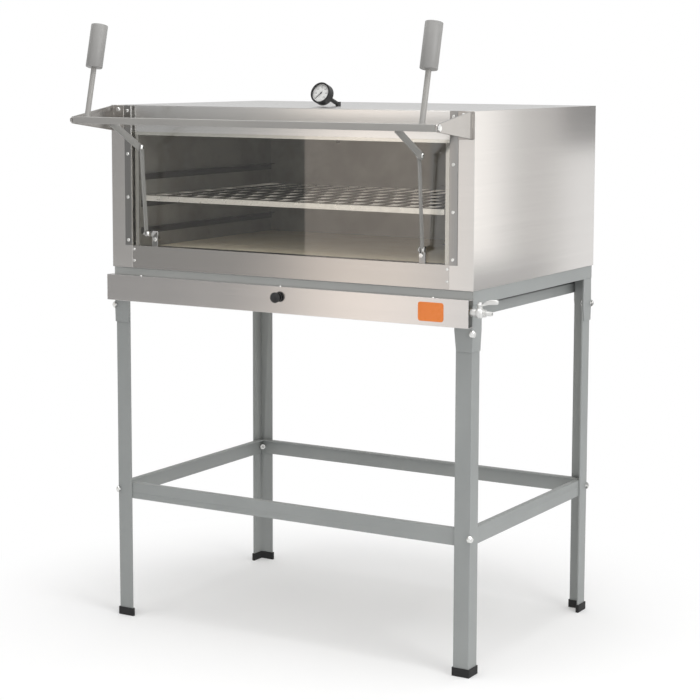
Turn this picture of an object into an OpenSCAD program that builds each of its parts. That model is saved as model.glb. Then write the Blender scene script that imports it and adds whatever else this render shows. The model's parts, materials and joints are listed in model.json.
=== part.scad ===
// Gas deck oven on a bolted angle stand. A glass door slides up in guides and is lifted by a
// counterweighted lever. Millimetres, Z up, front towards -Y.

/* [Casing] */
// Width of the casing
case_w = 1000; // [900:10:1200]
// Depth of the casing
case_d = 660; // [600:10:760]
// Height of the casing
case_h = 398; // [370:1:440]
// Thickness of the casing sheet
sheet_t = 1.5; // [1:0.1:2]
// Width of each front pillar
pillar_w = 61; // [58:1:66]
// Height of the sill under the door
sill_h = 55; // [48:1:66]
// Depth of the sill channel
sill_d = 30; // [24:1:40]
// Height of the lintel over the door
lintel_h = 72; // [60:1:84]
// Reach of the folds along the casing's bottom edges
fold_w = 30; // [20:1:31]
// Depth of the lintel's lower fold
lintel_return = 30; // [20:1:50]

/* [Chamber] */
// Thickness of the chamber sheet
liner_t = 1.5; // [1:0.1:2]
// Visible lip between a pillar and the opening
lip_w = 15; // [12:1:18]
// Space between the chamber and the rear panel
rear_gap = 60; // [50:1:80]
// Width of the flue
flue_w = 120; // [80:1:200]
// Height of the flue
flue_h = 22; // [20:1:40]
// Distance from the ceiling down to the flue
flue_drop = 8; // [8:1:20]
// Rise of the flue's outlet over its inlet
flue_rise = 36; // [34:1:45]
// Thickness of the deck stones
deck_t = 20; // [15:1:24]
// Drop from the sill to the deck
deck_drop = 6; // [3:1:12]
// Gap around the deck stones
deck_gap = 0.8; // [0.5:0.1:2]
// Width of the ledges that carry the deck
deck_ledge_w = 18; // [14:1:26]
// Thickness of the deck ledges and the middle beam
deck_ledge_t = 4; // [3:0.5:6]
// Width of the middle beam under the deck
deck_beam_w = 36; // [24:1:60]
// Height of the runner that carries the shelf, above the sill
shelf_rise = 110; // [90:1:125]
// Step between the three pairs of runners
runner_step = 66; // [50:1:75]
// Width of a runner's ledge
runner_w = 13; // [10:1:18]
// Height of a runner's flange
runner_h = 16; // [12:1:20]
// Thickness of the runners
runner_t = 1.5; // [1:0.1:2.5]

/* [Shelf] */
// Height of the shelf's front and rear bars
shelf_bar_h = 13; // [10:1:18]
// Thickness of the shelf's bars
shelf_bar_t = 4; // [3:0.5:6]
// Gap from the front frame to the shelf's front bar
shelf_setback = 6; // [4:1:14]
// Gap at each side and at the back of the shelf
shelf_gap = 3; // [2:0.5:6]
// Diameter of the shelf wires
wire_d = 4; // [3:0.5:5]
// Distance between the shelf wires
wire_pitch = 50; // [36:1:60]
// Width of the shelf's cross bars
strip_w = 4; // [4:1:12]
// Height of the shelf's cross bars
strip_t = 4; // [3:0.5:8]
// Number of cross bars
strip_n = 5; // [1:1:6]

/* [Stand] */
// Height of the stand, from the floor to the casing
stand_h = 885; // [700:5:1000]
// Distance from the casing's faces in to the top rails
stand_inset = 2.5; // [1:0.5:8]
// Flange of the top rails
rail_flange = 32; // [28:1:38]
// Thickness of the top rails
rail_t = 3; // [2.5:0.5:4]
// Flange of the legs
leg_flange = 40; // [34:1:46]
// Thickness of the legs
leg_t = 4; // [3:0.5:5]
// Flange of the lower stretchers
stretcher_flange = 40; // [30:1:46]
// Width of the stretchers' top lip
stretcher_lip = 14; // [12:1:20]
// Thickness of the stretchers
stretcher_t = 4; // [3:0.5:5]
// Height of the top of the stretchers
stretcher_z = 342; // [200:1:450]
// Width of a leg socket where it meets the rails
socket_w = 46; // [42:1:54]
// Width of a leg socket at its lower end
socket_tip_w = 41; // [36:1:41.5]
// Length of a leg socket under the rails
socket_l = 106; // [90:1:130]
// Length of the socket's taper
socket_taper = 48; // [30:1:60]
// Height of the rubber feet
foot_h = 20; // [14:1:28]
// Wall of the rubber feet
foot_wall = 2.5; // [1.5:0.5:4]
// Sole under each leg
foot_sole = 4; // [3:0.5:6]
// Diameter of the stand's corner bolts
stand_bolt_d = 8; // [6:0.5:10]
// Diameter of the corner bolts' heads
stand_bolt_head_d = 17; // [14:0.5:20]
// How far a corner bolt's head stands off its corner
stand_bolt_head_h = 6; // [4:0.5:9]
// Diameter of the corner bolts' nuts
stand_nut_d = 15; // [12.5:0.5:17]
// Length of a corner bolt's nut
stand_nut_l = 8; // [6:0.5:12]
// Height of the upper corner bolts under the rails
upper_bolt_drop = 64; // [50:1:80]

/* [Door] */
// Thickness of the door glass
glass_t = 5; // [4:0.5:6]
// Gap between the glass and each side of its guide
slide_gap = 0.7; // [0.4:0.1:0.9]
// How far the glass reaches in behind each pillar
glass_hold = 6; // [4:0.5:8]
// How far the closed glass overlaps the lintel
glass_overlap = 8; // [4:1:20]
// Gap under the closed glass
glass_rest_gap = 0.3; // [0.3:0.1:0.9]
// Width of the guide spacers
spacer_w = 12; // [8:0.5:14]
// Width of the guide strips
guide_w = 20; // [18:0.5:22]
// Thickness of the guide strips
guide_t = 3; // [2:0.5:4]
// Diameter of the guide bolts
guide_bolt_d = 4; // [3:0.5:5]
// Distance of the end guide bolts from the ends of the strips
guide_bolt_margin = 13; // [10:1:24]
// Height of the door tabs
tab_h = 38; // [34:1:48]
// Width of a tab's flange on the glass
tab_w = 14; // [13:1:24]
// Thickness of the tabs
tab_t = 3; // [2:0.5:4]
// Distance of the tab pin in front of the glass
tab_reach = 22; // [20:1:30]
// Height of the tab pin above the bottom of the glass
tab_pin_rise = 33; // [26:1:36]
// Radius of a tab's eye
tab_eye_r = 8; // [6.5:0.5:10]
// Height of the tab bolt above the bottom of the glass
tab_bolt_rise = 18; // [11:1:20]

/* [Lever] */
// Distance from the casing's front to the lever's pivot
pivot_reach = 157; // [140:1:180]
// Distance from the casing's top down to the pivot
pivot_drop = 33; // [28:1:40]
// Side of the square crossbar
bar_side = 16; // [14:0.5:20]
// Diameter of the pivot bolts
pivot_d = 8; // [6:0.5:9]
// Distance from the casing's sides in to the outer faces of the brackets
bracket_inset = 6; // [4:0.5:12]
// Thickness of the brackets
bracket_t = 4; // [3:0.5:5]
// Height of the brackets at the casing
bracket_h = 63; // [56:1:76]
// Radius of the brackets' tips
bracket_tip_r = 9; // [8:0.5:12]
// Diameter of the bracket bolts
bracket_bolt_d = 6; // [5:0.5:8]
// Distance between a bracket's two bolts
bracket_bolt_pitch = 42; // [30:1:44]
// Distance from the casing's sides in to the outer faces of the crank arms
arm_inset = 112; // [90:1:200]
// Thickness of the crank arms
arm_t = 4; // [3:0.5:6]
// Width of the crank arms
arm_w = 17; // [16:1:24]
// Length of the crank arms between centres
arm_l = 137.4; // [125:0.1:145]
// Angle of the crank arms under the horizontal
arm_angle = 29.2; // [24:0.1:34]
// Width of the links
link_w = 13; // [12.5:0.5:18]
// Thickness of the links
link_t = 3; // [2:0.5:5]
// Gap between an arm, a link and a tab
link_gap = 1; // [0.5:0.1:2]
// Diameter of the link pins
link_pin_d = 6; // [5:0.5:8]
// Distance from the casing's sides in to the weight rods
rod_inset = 48; // [40:1:60]
// Diameter of the weight rods
rod_d = 13; // [10:0.5:15]
// Distance from the pivot to the weights
rod_l = 127.5; // [100:0.5:160]
// Lean of the rods, back from the vertical
rod_lean = 13.5; // [0:0.5:20]
// How far a rod enters its weight
rod_hold = 25; // [15:1:50]
// Diameter of the weights
weight_d = 40; // [34:1:50]
// Length of the weights
weight_l = 104; // [80:1:130]
// Edge round of the weights
weight_edge = 2; // [1:0.5:4]

/* [Control panel] */
// Height of the control panel
panel_h = 63; // [56:1:68]
// Distance from the casing's bottom down to the panel
panel_drop = 17.5; // [15:0.5:20]
// Distance from the casing's front out to the panel's face
panel_reach = 24; // [22:0.5:30]
// Width of the badge plate
badge_w = 64; // [40:1:80]
// Height of the badge plate
badge_h = 43; // [30:1:46]
// Corner radius of the badge plate
badge_r = 6; // [3:0.5:8]
// Thickness of the badge plate
badge_t = 1.2; // [0.8:0.1:2]
// Distance from the panel's right end to the badge plate
badge_margin = 62; // [40:1:90]
// Diameter of the igniter's collar
collar_d = 22; // [20:0.5:28]
// Thickness of the igniter's collar
collar_t = 1.5; // [1:0.5:4]
// Diameter of the igniter's body behind the panel
igniter_d = 18; // [16:0.5:20]
// Length of the igniter's body behind the panel
igniter_l = 18; // [16:0.5:20]
// Diameter of the igniter's plunger
plunger_d = 14; // [11:0.5:14]
// How far the plunger enters the igniter
plunger_hold = 10; // [8:0.5:11]
// Room behind the plunger
plunger_room = 6; // [5.5:0.5:7]
// Diameter of the igniter's button
button_d = 25; // [20:0.5:28]
// Length of the igniter's button disc
button_l = 8; // [6:0.5:12]
// Gap between the collar and the button
button_gap = 6; // [5.5:0.5:9]
// Height of the igniter above the panel's lower edge
igniter_rise = 38; // [30:0.5:42]

/* [Gas] */
// Diameter of the gas pipe
pipe_d = 12; // [10:0.5:14]
// Bore of the gas pipe
pipe_bore = 9; // [6:0.5:9]
// Distance of the pipe behind the panel's face
pipe_depth = 14; // [12:0.5:16]
// Height of the pipe above the panel's lower edge
pipe_rise = 35; // [28:0.5:40]
// Distance of each burner leg from the middle
burner_x = 160; // [110:5:240]
// Diameter of the burner pipes
burner_d = 42; // [34:1:44]
// Wall of the burner pipes
burner_wall = 2; // [1.5:0.1:3]
// Distance from the casing's front to the burner pipes
burner_start = 75; // [70:1:110]
// Distance from the casing's rear to the burner pipes
burner_end_gap = 110; // [95:1:150]
// Gap between the legs and the burner box's sides
box_side_gap = 1; // [1:0.5:20]
// Depth of the burner box under the casing
box_drop = 71; // [70:1:90]
// Gap between the front legs and the burner box
box_gap = 4.5; // [2:0.5:15]
// Gap between the rear rail and the burner box
box_rear_gap = 1; // [1:0.5:48]
// Overlap of the burner box's flange under the rails
box_lap = 10; // [6:1:20]
// Side of the injector's block
injector_side = 20; // [18:0.5:22]
// Diameter of the injector's nozzle
nozzle_d = 12; // [8:0.5:14]
// Gap between the nozzle and the burner's mouth
nozzle_gap = 5; // [3:0.5:10]
// Diameter of the nozzle's jet
jet_d = 2; // [1:0.1:3]
// Thickness of the panel's tabs round the pipe
pipe_tab_t = 3; // [2:0.5:4]
// Distance of those tabs from the ends of the pipe
pipe_tab_inset = 60; // [30:1:100]
// Margin of those tabs round the pipe
pipe_tab_margin = 6; // [3:0.5:6]
// Diameter of the burner's mouth
venturi_d = 26; // [22:0.5:30]
// Length of the burner's mouth
venturi_l = 40; // [30:1:45]
// Diameter of the bridge between the burner legs
bridge_d = 26; // [20:0.5:32]
// Distance of the bridge from the legs' rear ends
bridge_inset = 42; // [20:1:80]
// Length of a burner port across the pipe
port_w = 14; // [8:0.5:18]
// Width of a burner port
port_t = 2; // [1:0.5:3]
// Distance between the burner ports
port_pitch = 30; // [15:1:50]
// Width of the bars that carry the burner
carrier_w = 25; // [16:1:40]
// Thickness of the bars that carry the burner
carrier_t = 3; // [2:0.5:5]
// Distance of those bars from the ends of the legs
carrier_inset = 60; // [25:1:120]
// Diameter of the electrode's insulator
electrode_d = 6; // [5:0.5:8]
// Diameter of the electrode's tip
electrode_tip_d = 2; // [1:0.5:3]
// Length of the electrode's tip over its insulator
electrode_tip_l = 5; // [3:0.5:8]
// Diameter of the electrode's foot
electrode_foot_d = 12; // [10:0.5:14]
// Height of the electrode's foot
electrode_foot_h = 5; // [3:0.5:8]
// Gap between the electrode and the burner leg
electrode_gap = 5; // [4.5:0.5:10]
// Distance from the casing's side to the middle of the valve
valve_out = 22; // [20:0.5:30]
// Diameter of the valve's ball chamber
valve_d = 24; // [20:0.5:26]
// Diameter of the valve's ends
valve_end_d = 17; // [14.5:0.5:18]
// How far the valve's outlet end passes its ball chamber
valve_end_l = 2; // [1:0.5:6]
// Diameter of the valve's neck
valve_neck_d = 12; // [10:0.5:14]
// Height of the valve's neck over its ball chamber
valve_neck_h = 3; // [2:0.5:6]
// Diameter of the valve's spindle
spindle_d = 6; // [4:0.5:7]
// Length of the spindle in the neck
spindle_hold = 8; // [5:0.5:10]
// Length of the hose tail
tail_l = 16; // [14:0.5:30]
// Diameter of the hose tail
tail_d = 11; // [8:0.5:13]
// Length of the valve lever
valve_lever_l = 44; // [34:1:60]
// Width of the valve lever
valve_lever_w = 9; // [7:0.5:12]
// Diameter of the valve lever's hub
valve_hub_d = 14; // [12.5:0.5:16]
// Height of the valve lever's hub
valve_hub_h = 5; // [4:0.5:7]
// Thickness of the valve lever
valve_lever_t = 3; // [2:0.5:4]
// Distance from the spindle to the lever's grip
valve_grip_x = 15; // [12:0.5:20]
// Height of the lever's grip
valve_grip_h = 11; // [5:0.5:12]

/* [Thermometer] */
// Diameter of the thermometer's case
dial_d = 52; // [46:1:60]
// Depth of the thermometer's case
dial_depth = 20; // [16:0.5:24]
// Wall of the thermometer's case
dial_wall = 3; // [2:0.5:3.5]
// Distance from the casing's front to the middle of the dial
dial_y = 165; // [130:1:220]
// Gap between the casing's top and the thermometer's case
dial_clear = 2; // [1:0.5:8]
// Tilt of the dial
dial_tilt = 19; // [12:0.5:22]
// Diameter of the thermometer's stem
stem_d = 10; // [7:0.5:10]
// Diameter of the thermometer's probe
probe_d = 8; // [6:0.5:9]
// How far the probe reaches into the chamber
probe_l = 20; // [20:1:60]
// Diameter of the socket that the stem enters on the casing's top
boss_d = 13; // [12:0.5:20]
// Height of that socket
boss_h = 10; // [10:0.5:14]
// How far the stem enters that socket
stem_hold = 4; // [2:0.5:6]
// Gap between the pointer and the lens
pointer_gap = 0.7; // [0.5:0.1:1]
// Thickness of the dial plate
dial_t = 1; // [0.6:0.1:1.5]
// Height of the pointer over the dial plate
pointer_rise = 1; // [0.8:0.1:2]
// Thickness of the pointer
pointer_t = 0.8; // [0.6:0.1:1.2]
// Width of the pointer's needle
pointer_w = 2; // [1.5:0.1:3]
// Length of the pointer from the dial's middle
pointer_l = 19; // [14:0.5:20]
// Length of the pointer's tail
pointer_tail = 6; // [3:0.5:9]
// Diameter of the pointer's hub
pointer_hub_d = 6; // [4:0.5:9]
// Diameter of the pointer's pin
pointer_pin_d = 2; // [1.5:0.1:3]
// Turn of the resting pointer from the dial's right-hand side
pointer_rest = 225; // [200:1:250]
// Thickness of the lens
lens_t = 1; // [0.8:0.1:1.5]
// Depth of the lens behind the case's rim
lens_drop = 1; // [0.8:0.1:2]

/* [Fasteners] */
// Diameter of the lever's and the door's bolt heads
head_d = 12; // [10:0.5:14]
// Height of the lever's and the door's bolt heads
head_h = 4; // [3:0.5:5]
// Diameter of the pivot bolts' heads
pivot_head_d = 16; // [12:0.5:18]
// How far a pivot bolt enters the crossbar
pivot_hold = 32; // [20:1:60]
// Diameter of the guide bolts' heads
guide_head_d = 8; // [6:0.5:10]
// Height of the guide bolts' heads
guide_head_h = 2; // [1.5:0.5:4]
// Diameter of the sill and panel screws
screw_d = 3; // [2.5:0.5:4]
// Diameter of the sill and panel screws' heads
screw_head_d = 7; // [6:0.5:9]
// Height of the sill and panel screws' heads
screw_head_h = 1.5; // [1:0.5:3]
// Length of the sill and panel screws under their heads
screw_l = 4.5; // [4:0.5:8]
// Distance of the sill screws from the pillars
sill_screw_inset = 5; // [4.5:0.5:12]
// Distance of the upper sill screws from the sill's top
sill_screw_top = 9; // [7:0.5:14]
// Distance of the lower sill screws from the casing's bottom
sill_screw_bottom = 18; // [10:0.5:22]
// Distance of the outer panel screws from the panel's ends
panel_screw_inset = 95; // [40:1:140]
// Distance of the panel screws behind the panel's face
panel_screw_depth = 12; // [8:0.5:16]

/* [Hidden] */
$fn = 48;

// Colours
stand_grey = [0.55, 0.57, 0.56];
steel = [0.78, 0.77, 0.75];
dark_steel = [0.40, 0.38, 0.36];
bright = [0.88, 0.88, 0.87];
black = [0.08, 0.08, 0.08];
stone = [0.76, 0.70, 0.60];
wool = [0.80, 0.74, 0.58];
brass = [0.72, 0.58, 0.30];
orange = [0.90, 0.50, 0.20];

// Clearances and allowances
run_gap = 0.05;    // radial clearance of a pin in its bore
side_gap = 0.5;    // clearance beside a moving piece
hole_gap = 0.2;    // radial clearance of a bolt in its hole
cut = 1;           // overshoot of a cut
far = 400;         // side of a block that stands for a half space

// Casing planes, from the middle out, from the front back and from the floor up
x_side = case_w / 2;
x_in = x_side - sheet_t;
x_pillar = x_side - pillar_w;
x_open = x_pillar - lip_w;
x_liner = x_open + liner_t;
x_glass = x_pillar + glass_hold;
x_spacer = x_glass + slide_gap;
y_glass = sheet_t + slide_gap;
y_frame = y_glass + glass_t + slide_gap;
y_liner = y_frame + liner_t;
y_rear = case_d - rear_gap;
y_rear_liner = y_rear + liner_t;
y_back = case_d - sheet_t;
z_case = stand_h;
z_floor = z_case + sheet_t;
z_top = stand_h + case_h;
z_roof = z_top - sheet_t;
z_sill = z_case + sill_h;
z_lintel = z_top - lintel_h;
z_ceiling = z_lintel + liner_t;
z_ceiling_top = z_ceiling + liner_t;
jamb_w = pillar_w - fold_w + lip_w;

// Stand planes
x_rail = x_side - stand_inset;
y_rail = stand_inset;
x_leg = x_rail - rail_t;
y_leg = y_rail + rail_t;
x_stretcher = x_leg - leg_t;
y_stretcher = y_leg + leg_t;
z_rail = z_case - rail_flange;
z_rail_seat = z_case - rail_t;
z_socket = z_rail - socket_l;
z_upper_bolt = z_rail - upper_bolt_drop;
z_lower_bolt = stretcher_z - stretcher_flange / 2;

// Deck, runners and shelf
z_deck = z_sill - deck_drop;
z_deck_seat = z_deck - deck_t;
sill_back_h = deck_drop + deck_t + deck_ledge_t;
z_shelf = z_sill + shelf_rise;
z_shelf_top = z_shelf + shelf_bar_h;
runner_levels = [for (k = [-1:1]) z_shelf + k * runner_step];
x_shelf = x_open - shelf_gap;
y_shelf = y_liner + shelf_setback;
y_shelf_back = y_rear - shelf_gap;
z_wire = z_shelf_top - wire_d;
wire_n = floor((2 * (x_shelf - shelf_bar_t) - wire_d) / wire_pitch);

// Flue
z_flue = z_lintel - flue_drop - flue_h;
z_flue_top = z_flue + flue_h + flue_rise;

// Control panel and gas line
z_panel_top = z_case - panel_drop;
z_panel = z_panel_top - panel_h;
y_panel = -panel_reach;
y_pipe = y_panel + pipe_depth;
z_pipe = z_panel + pipe_rise;
z_igniter = z_panel + igniter_rise;
x_valve = x_side + valve_out;
x_tail = x_valve + valve_d / 2 + valve_end_l;
z_neck = z_pipe + valve_d / 2 + valve_neck_h;
x_pipe = burner_x + injector_side / 2;
pipe_tab_r = pipe_d / 2 + pipe_tab_margin;
pipe_tabs = [x_pipe + pipe_tab_inset, x_side - pipe_tab_inset];
panel_screw_xs = [panel_screw_inset - x_side, 0, x_side - panel_screw_inset];
y_panel_screw = y_panel + panel_screw_depth;
y_collar = y_panel - collar_t;
y_button = y_collar - button_gap;

// Burner
y_burner_end = case_d - burner_end_gap;
z_burner_seat = z_pipe - burner_d / 2;
y_mouth = burner_start - venturi_l;
y_bridge = y_burner_end - bridge_inset;
x_electrode = burner_x - burner_d / 2 - electrode_gap - electrode_d / 2;
y_carriers = [burner_start + carrier_inset, y_burner_end - carrier_inset];
y_box = y_leg + leg_flange + box_gap;
y_box_end = case_d - y_leg - box_rear_gap;
y_lap_end = case_d - y_stretcher - box_rear_gap;
x_box = x_leg - leg_flange - box_side_gap;
x_box_in = x_box - sheet_t;
z_box = z_case - box_drop;

// Thermometer
dial_bore = dial_d - 2 * dial_wall;
dial_back = dial_depth - lens_drop - lens_t - pointer_gap - pointer_t - pointer_rise - dial_t;
dial_rise = dial_d / 2 * cos(dial_tilt) + dial_depth * sin(dial_tilt) + dial_clear;
z_dial = z_top + dial_rise;
stem_run = (dial_rise - boss_h / 2) / sin(dial_tilt);
y_boss = dial_y + stem_run * cos(dial_tilt) + boss_d / 2 - stem_hold;
z_probe = z_ceiling - probe_l;

// Door and lever
x_strip = x_pillar + guide_w;
guide_bolt_x = x_pillar + guide_w / 2;
guide_bolt_step = (z_top - z_sill - 2 * guide_bolt_margin) / 3;
guide_bolt_zs = [for (k = [0:3]) z_sill + guide_bolt_margin + k * guide_bolt_step];
x_bracket = x_side - bracket_inset;
x_web = x_bracket - bracket_t;
x_bracket_flange = x_strip + side_gap;
bracket_bolt_x = (x_bracket_flange + x_web) / 2;
bracket_bolt_zs = [for (k = [-1, 1]) z_top - bracket_h / 2 + k * bracket_bolt_pitch / 2];
x_sill_screw = x_pillar - sill_screw_inset;
sill_screw_zs = [z_sill - sill_screw_top, z_case + sill_screw_bottom];
y_pivot = -pivot_reach;
z_pivot = z_top - pivot_drop;
x_bar = x_web - side_gap;
x_arm = x_side - arm_inset;
x_link = x_arm - arm_t - link_gap;
x_tab = x_link - link_t - link_gap;
x_tab_flange = x_tab - tab_t - tab_w;
z_glass = z_sill + glass_rest_gap;
y_crank = y_pivot + arm_l * cos(arm_angle);
z_crank = z_pivot - arm_l * sin(arm_angle);
y_tab = y_glass - tab_reach;
z_tab = z_glass + tab_pin_rise;
link_l = norm([y_crank - y_tab, z_crank - z_tab]);
link_tilt = atan2(z_crank - z_tab, y_crank - y_tab);
tab_bolt_x = x_tab - tab_t - tab_w / 2;
z_tab_bolt = z_glass + tab_bolt_rise;

// Middle of the whole object's footprint, which is the model's origin
bolt_reach = (stand_bolt_head_h + stand_bolt_head_d / 2) / sqrt(2);
x_origin = (x_valve + valve_lever_l - x_rail - bolt_reach) / 2;
y_origin = (y_pivot - bracket_tip_r + case_d - y_rail + bolt_reach) / 2;

// A box between two corners
module block(lo, hi) {
  translate(lo) cube(hi - lo);
}

// Moves a piece from the casing's front middle to the model's origin
module placed() {
  translate([-x_origin, -y_origin, 0]) children();
}

// Draws the right-hand piece and its left-hand twin
module both_sides() {
  children();
  mirror([1, 0, 0]) children();
}

// Takes a piece at the front right corner of the stand to another corner
module at_corner(left, back) {
  translate([0, back ? case_d : 0, 0])
    mirror([0, back ? 1 : 0, 0])
      mirror([left ? 1 : 0, 0, 0])
        children();
}

module each_corner() {
  for (left = [false, true], back = [false, true]) at_corner(left, back) children();
}

// Extrudes a Y-Z outline along X
module along_x(from, length) {
  translate([from, 0, 0]) rotate([90, 0, 90]) linear_extrude(length) children();
}

// A round rod along X, or along Y
module rod_x(d, from, to, y, z) {
  translate([from, y, z]) rotate([0, 90, 0]) cylinder(d = d, h = to - from);
}

module rod_y(d, from, to, x, z) {
  translate([x, from, z]) rotate([-90, 0, 0]) cylinder(d = d, h = to - from);
}

// An angle section with its outer corner at the origin and its flanges along -X and +Y
module angle_profile(flange, thick) {
  polygon([[0, 0], [-flange, 0], [-flange, thick], [-thick, thick], [-thick, flange], [0, flange]]);
}

// Turns a rod along Z to point out of a front right corner
module diagonal() {
  rotate([0, 0, 45]) rotate([90, 0, 0]) children();
}

// The bore of a corner bolt
module corner_bore(x, y, z) {
  translate([x, y, z]) diagonal() cylinder(d = stand_bolt_d + 2 * hole_gap, h = far, center = true);
}

// A corner bolt: its head bears on the outer corner and its nut on the two inner walls
module corner_bolt(x, y, z, wall) {
  nut_from = wall * sqrt(2) + stand_nut_d / 2 + stand_nut_l;
  translate([x, y, z]) diagonal() {
    cylinder(d = stand_bolt_head_d, h = stand_bolt_head_h);
    translate([0, 0, -nut_from]) cylinder(d = stand_nut_d, h = stand_nut_l);
    translate([0, 0, -nut_from]) cylinder(d = stand_bolt_d, h = nut_from + stand_bolt_head_h);
  }
}

module leg() {
  difference() {
    translate([x_leg, y_leg, foot_sole])
      linear_extrude(z_rail_seat - foot_sole) angle_profile(leg_flange, leg_t);
    corner_bore(x_rail, y_rail, z_upper_bolt);
    corner_bore(x_leg, y_leg, z_lower_bolt);
  }
}

module leg_front_left() { color(stand_grey) placed() at_corner(true, false) leg(); }
module leg_front_right() { color(stand_grey) placed() at_corner(false, false) leg(); }
module leg_back_left() { color(stand_grey) placed() at_corner(true, true) leg(); }
module leg_back_right() { color(stand_grey) placed() at_corner(false, true) leg(); }

module foot_caps() {
  color(black) placed() each_corner() difference() {
    translate([x_leg + foot_wall, y_leg - foot_wall, 0])
      linear_extrude(foot_h) angle_profile(leg_flange + 2 * foot_wall, leg_t + 2 * foot_wall);
    translate([x_leg, y_leg, foot_sole]) linear_extrude(foot_h) angle_profile(leg_flange, leg_t);
  }
}

// One tapered wall of a leg socket, under the front rail
module socket_wall() {
  translate([0, rail_t, 0]) rotate([90, 0, 0]) linear_extrude(rail_t)
    polygon([[0, 0], [-socket_tip_w, 0], [-socket_w, socket_taper], [-socket_w, socket_l], [0, socket_l]]);
}

module leg_sockets() {
  color(stand_grey) placed() each_corner() difference() {
    translate([x_rail, y_rail, z_socket]) {
      socket_wall();
      mirror([1, 1, 0]) socket_wall();
    }
    corner_bore(x_rail, y_rail, z_upper_bolt);
  }
}

module rail_long() {
  block([-x_rail, y_rail, z_rail], [x_rail, y_leg, z_case]);
  block([-x_leg, y_rail, z_rail_seat], [x_leg, y_rail + rail_flange, z_case]);
}

module rail_front() { color(stand_grey) placed() rail_long(); }
module rail_back() { color(stand_grey) placed() at_corner(false, true) rail_long(); }

module rails_side() {
  color(stand_grey) placed() both_sides() {
    block([x_leg, y_leg, z_rail], [x_rail, case_d - y_leg, z_case]);
    block([x_rail - rail_flange, y_rail + rail_flange, z_rail_seat],
          [x_rail, case_d - y_rail - rail_flange, z_case]);
  }
}

module stretcher_long() {
  x_web = x_stretcher - stretcher_t;
  z_foot = stretcher_z - stretcher_flange;
  difference() {
    union() {
      block([-x_stretcher, y_stretcher, z_foot], [x_stretcher, y_stretcher + stretcher_t, stretcher_z]);
      block([-x_web, y_stretcher, stretcher_z - stretcher_t],
            [x_web, y_stretcher + stretcher_lip, stretcher_z]);
    }
    both_sides() corner_bore(x_leg, y_leg, z_lower_bolt);
  }
}

module stretcher_front() { color(stand_grey) placed() stretcher_long(); }
module stretcher_back() { color(stand_grey) placed() at_corner(false, true) stretcher_long(); }

module stretchers_side() {
  y_web = y_stretcher + stretcher_t;
  y_lip = y_stretcher + stretcher_lip;
  color(stand_grey) placed() both_sides() difference() {
    union() {
      block([x_stretcher - stretcher_t, y_web, stretcher_z - stretcher_flange],
            [x_stretcher, case_d - y_web, stretcher_z]);
      block([x_stretcher - stretcher_lip, y_lip, stretcher_z - stretcher_t],
            [x_stretcher, case_d - y_lip, stretcher_z]);
    }
    corner_bore(x_leg, y_leg, z_lower_bolt);
    at_corner(false, true) corner_bore(x_leg, y_leg, z_lower_bolt);
  }
}

module stand_bolts() {
  color(bright) placed() each_corner() {
    corner_bolt(x_rail, y_rail, z_upper_bolt, rail_t + leg_t);
    corner_bolt(x_leg, y_leg, z_lower_bolt, leg_t + stretcher_t);
  }
}

// The bores of the bolts that hold a guide strip, and of those that hold a bracket
module guide_bores() {
  for (z = guide_bolt_zs) rod_y(guide_bolt_d + 2 * hole_gap, -guide_t - cut, y_frame, guide_bolt_x, z);
}

module bracket_bores() {
  for (z = bracket_bolt_zs)
    rod_y(bracket_bolt_d + 2 * hole_gap, -bracket_t - cut, y_frame, bracket_bolt_x, z);
}

module side_panel() {
  difference() {
    union() {
      block([x_in, 0, z_case], [x_side, case_d, z_top]);
      block([x_pillar, 0, z_case], [x_side, sheet_t, z_top]);
      block([x_side - fold_w, 0, z_case], [x_side, y_back, z_floor]);
    }
    guide_bores();
    bracket_bores();
  }
}

module side_panel_left() { color(steel) placed() mirror([1, 0, 0]) side_panel(); }
module side_panel_right() { color(steel) placed() side_panel(); }

module top_panel() {
  color(steel) placed() difference() {
    union() {
      block([-x_in, y_frame, z_roof], [x_in, case_d, z_top]);
      both_sides() block([x_spacer, sheet_t, z_roof], [x_in, y_frame, z_top]);
    }
    probe_bore();
  }
}

module rear_panel() {
  color(steel) placed() difference() {
    block([-x_in, y_back, z_case], [x_in, case_d, z_roof]);
    flue_bore(z_flue + flue_rise, z_flue_top);
  }
}

module front_lintel() {
  color(steel) placed() {
    block([-x_in, y_frame, z_lintel], [x_in, y_liner, z_roof]);
    block([-x_open, y_frame, z_lintel], [x_open, y_liner + lintel_return, z_ceiling]);
  }
}

module front_sill() {
  color(steel) placed() difference() {
    union() {
      block([-x_pillar, 0, z_case], [x_pillar, sheet_t, z_sill]);
      block([-x_pillar, 0, z_sill - sheet_t], [x_pillar, sill_d, z_sill]);
      block([-x_pillar, 0, z_case], [x_pillar, sill_d, z_floor]);
      block([-x_pillar, sill_d - sheet_t, z_sill - sill_back_h], [x_pillar, sill_d, z_sill]);
    }
    both_sides() for (z = sill_screw_zs)
      rod_y(screw_d + 2 * hole_gap, -cut, sheet_t + cut, x_sill_screw, z);
  }
}

// A chamber wall with its front jamb and its foot on the rail
module chamber_wall() {
  along_x(x_open, liner_t) polygon([
    [y_frame, z_sill], [y_frame, z_lintel], [y_liner, z_lintel], [y_liner, z_ceiling],
    [y_rear_liner, z_ceiling], [y_rear_liner, z_case], [sill_d, z_case], [sill_d, z_sill]
  ]);
  block([x_open, y_frame, z_sill], [x_open + jamb_w, y_liner, z_lintel]);
  block([x_open, sill_d, z_case], [x_side - fold_w, y_rear_liner, z_case + liner_t]);
}

module chamber_wall_left() { color(dark_steel) placed() mirror([1, 0, 0]) chamber_wall(); }
module chamber_wall_right() { color(dark_steel) placed() chamber_wall(); }

// The inlet is low in the chamber and the outlet higher, so the duct between them is as tall as both
module flue_bore(low, high) {
  block([-flue_w / 2 + liner_t, y_rear - cut, low + liner_t],
        [flue_w / 2 - liner_t, case_d + cut, high - liner_t]);
}

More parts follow.
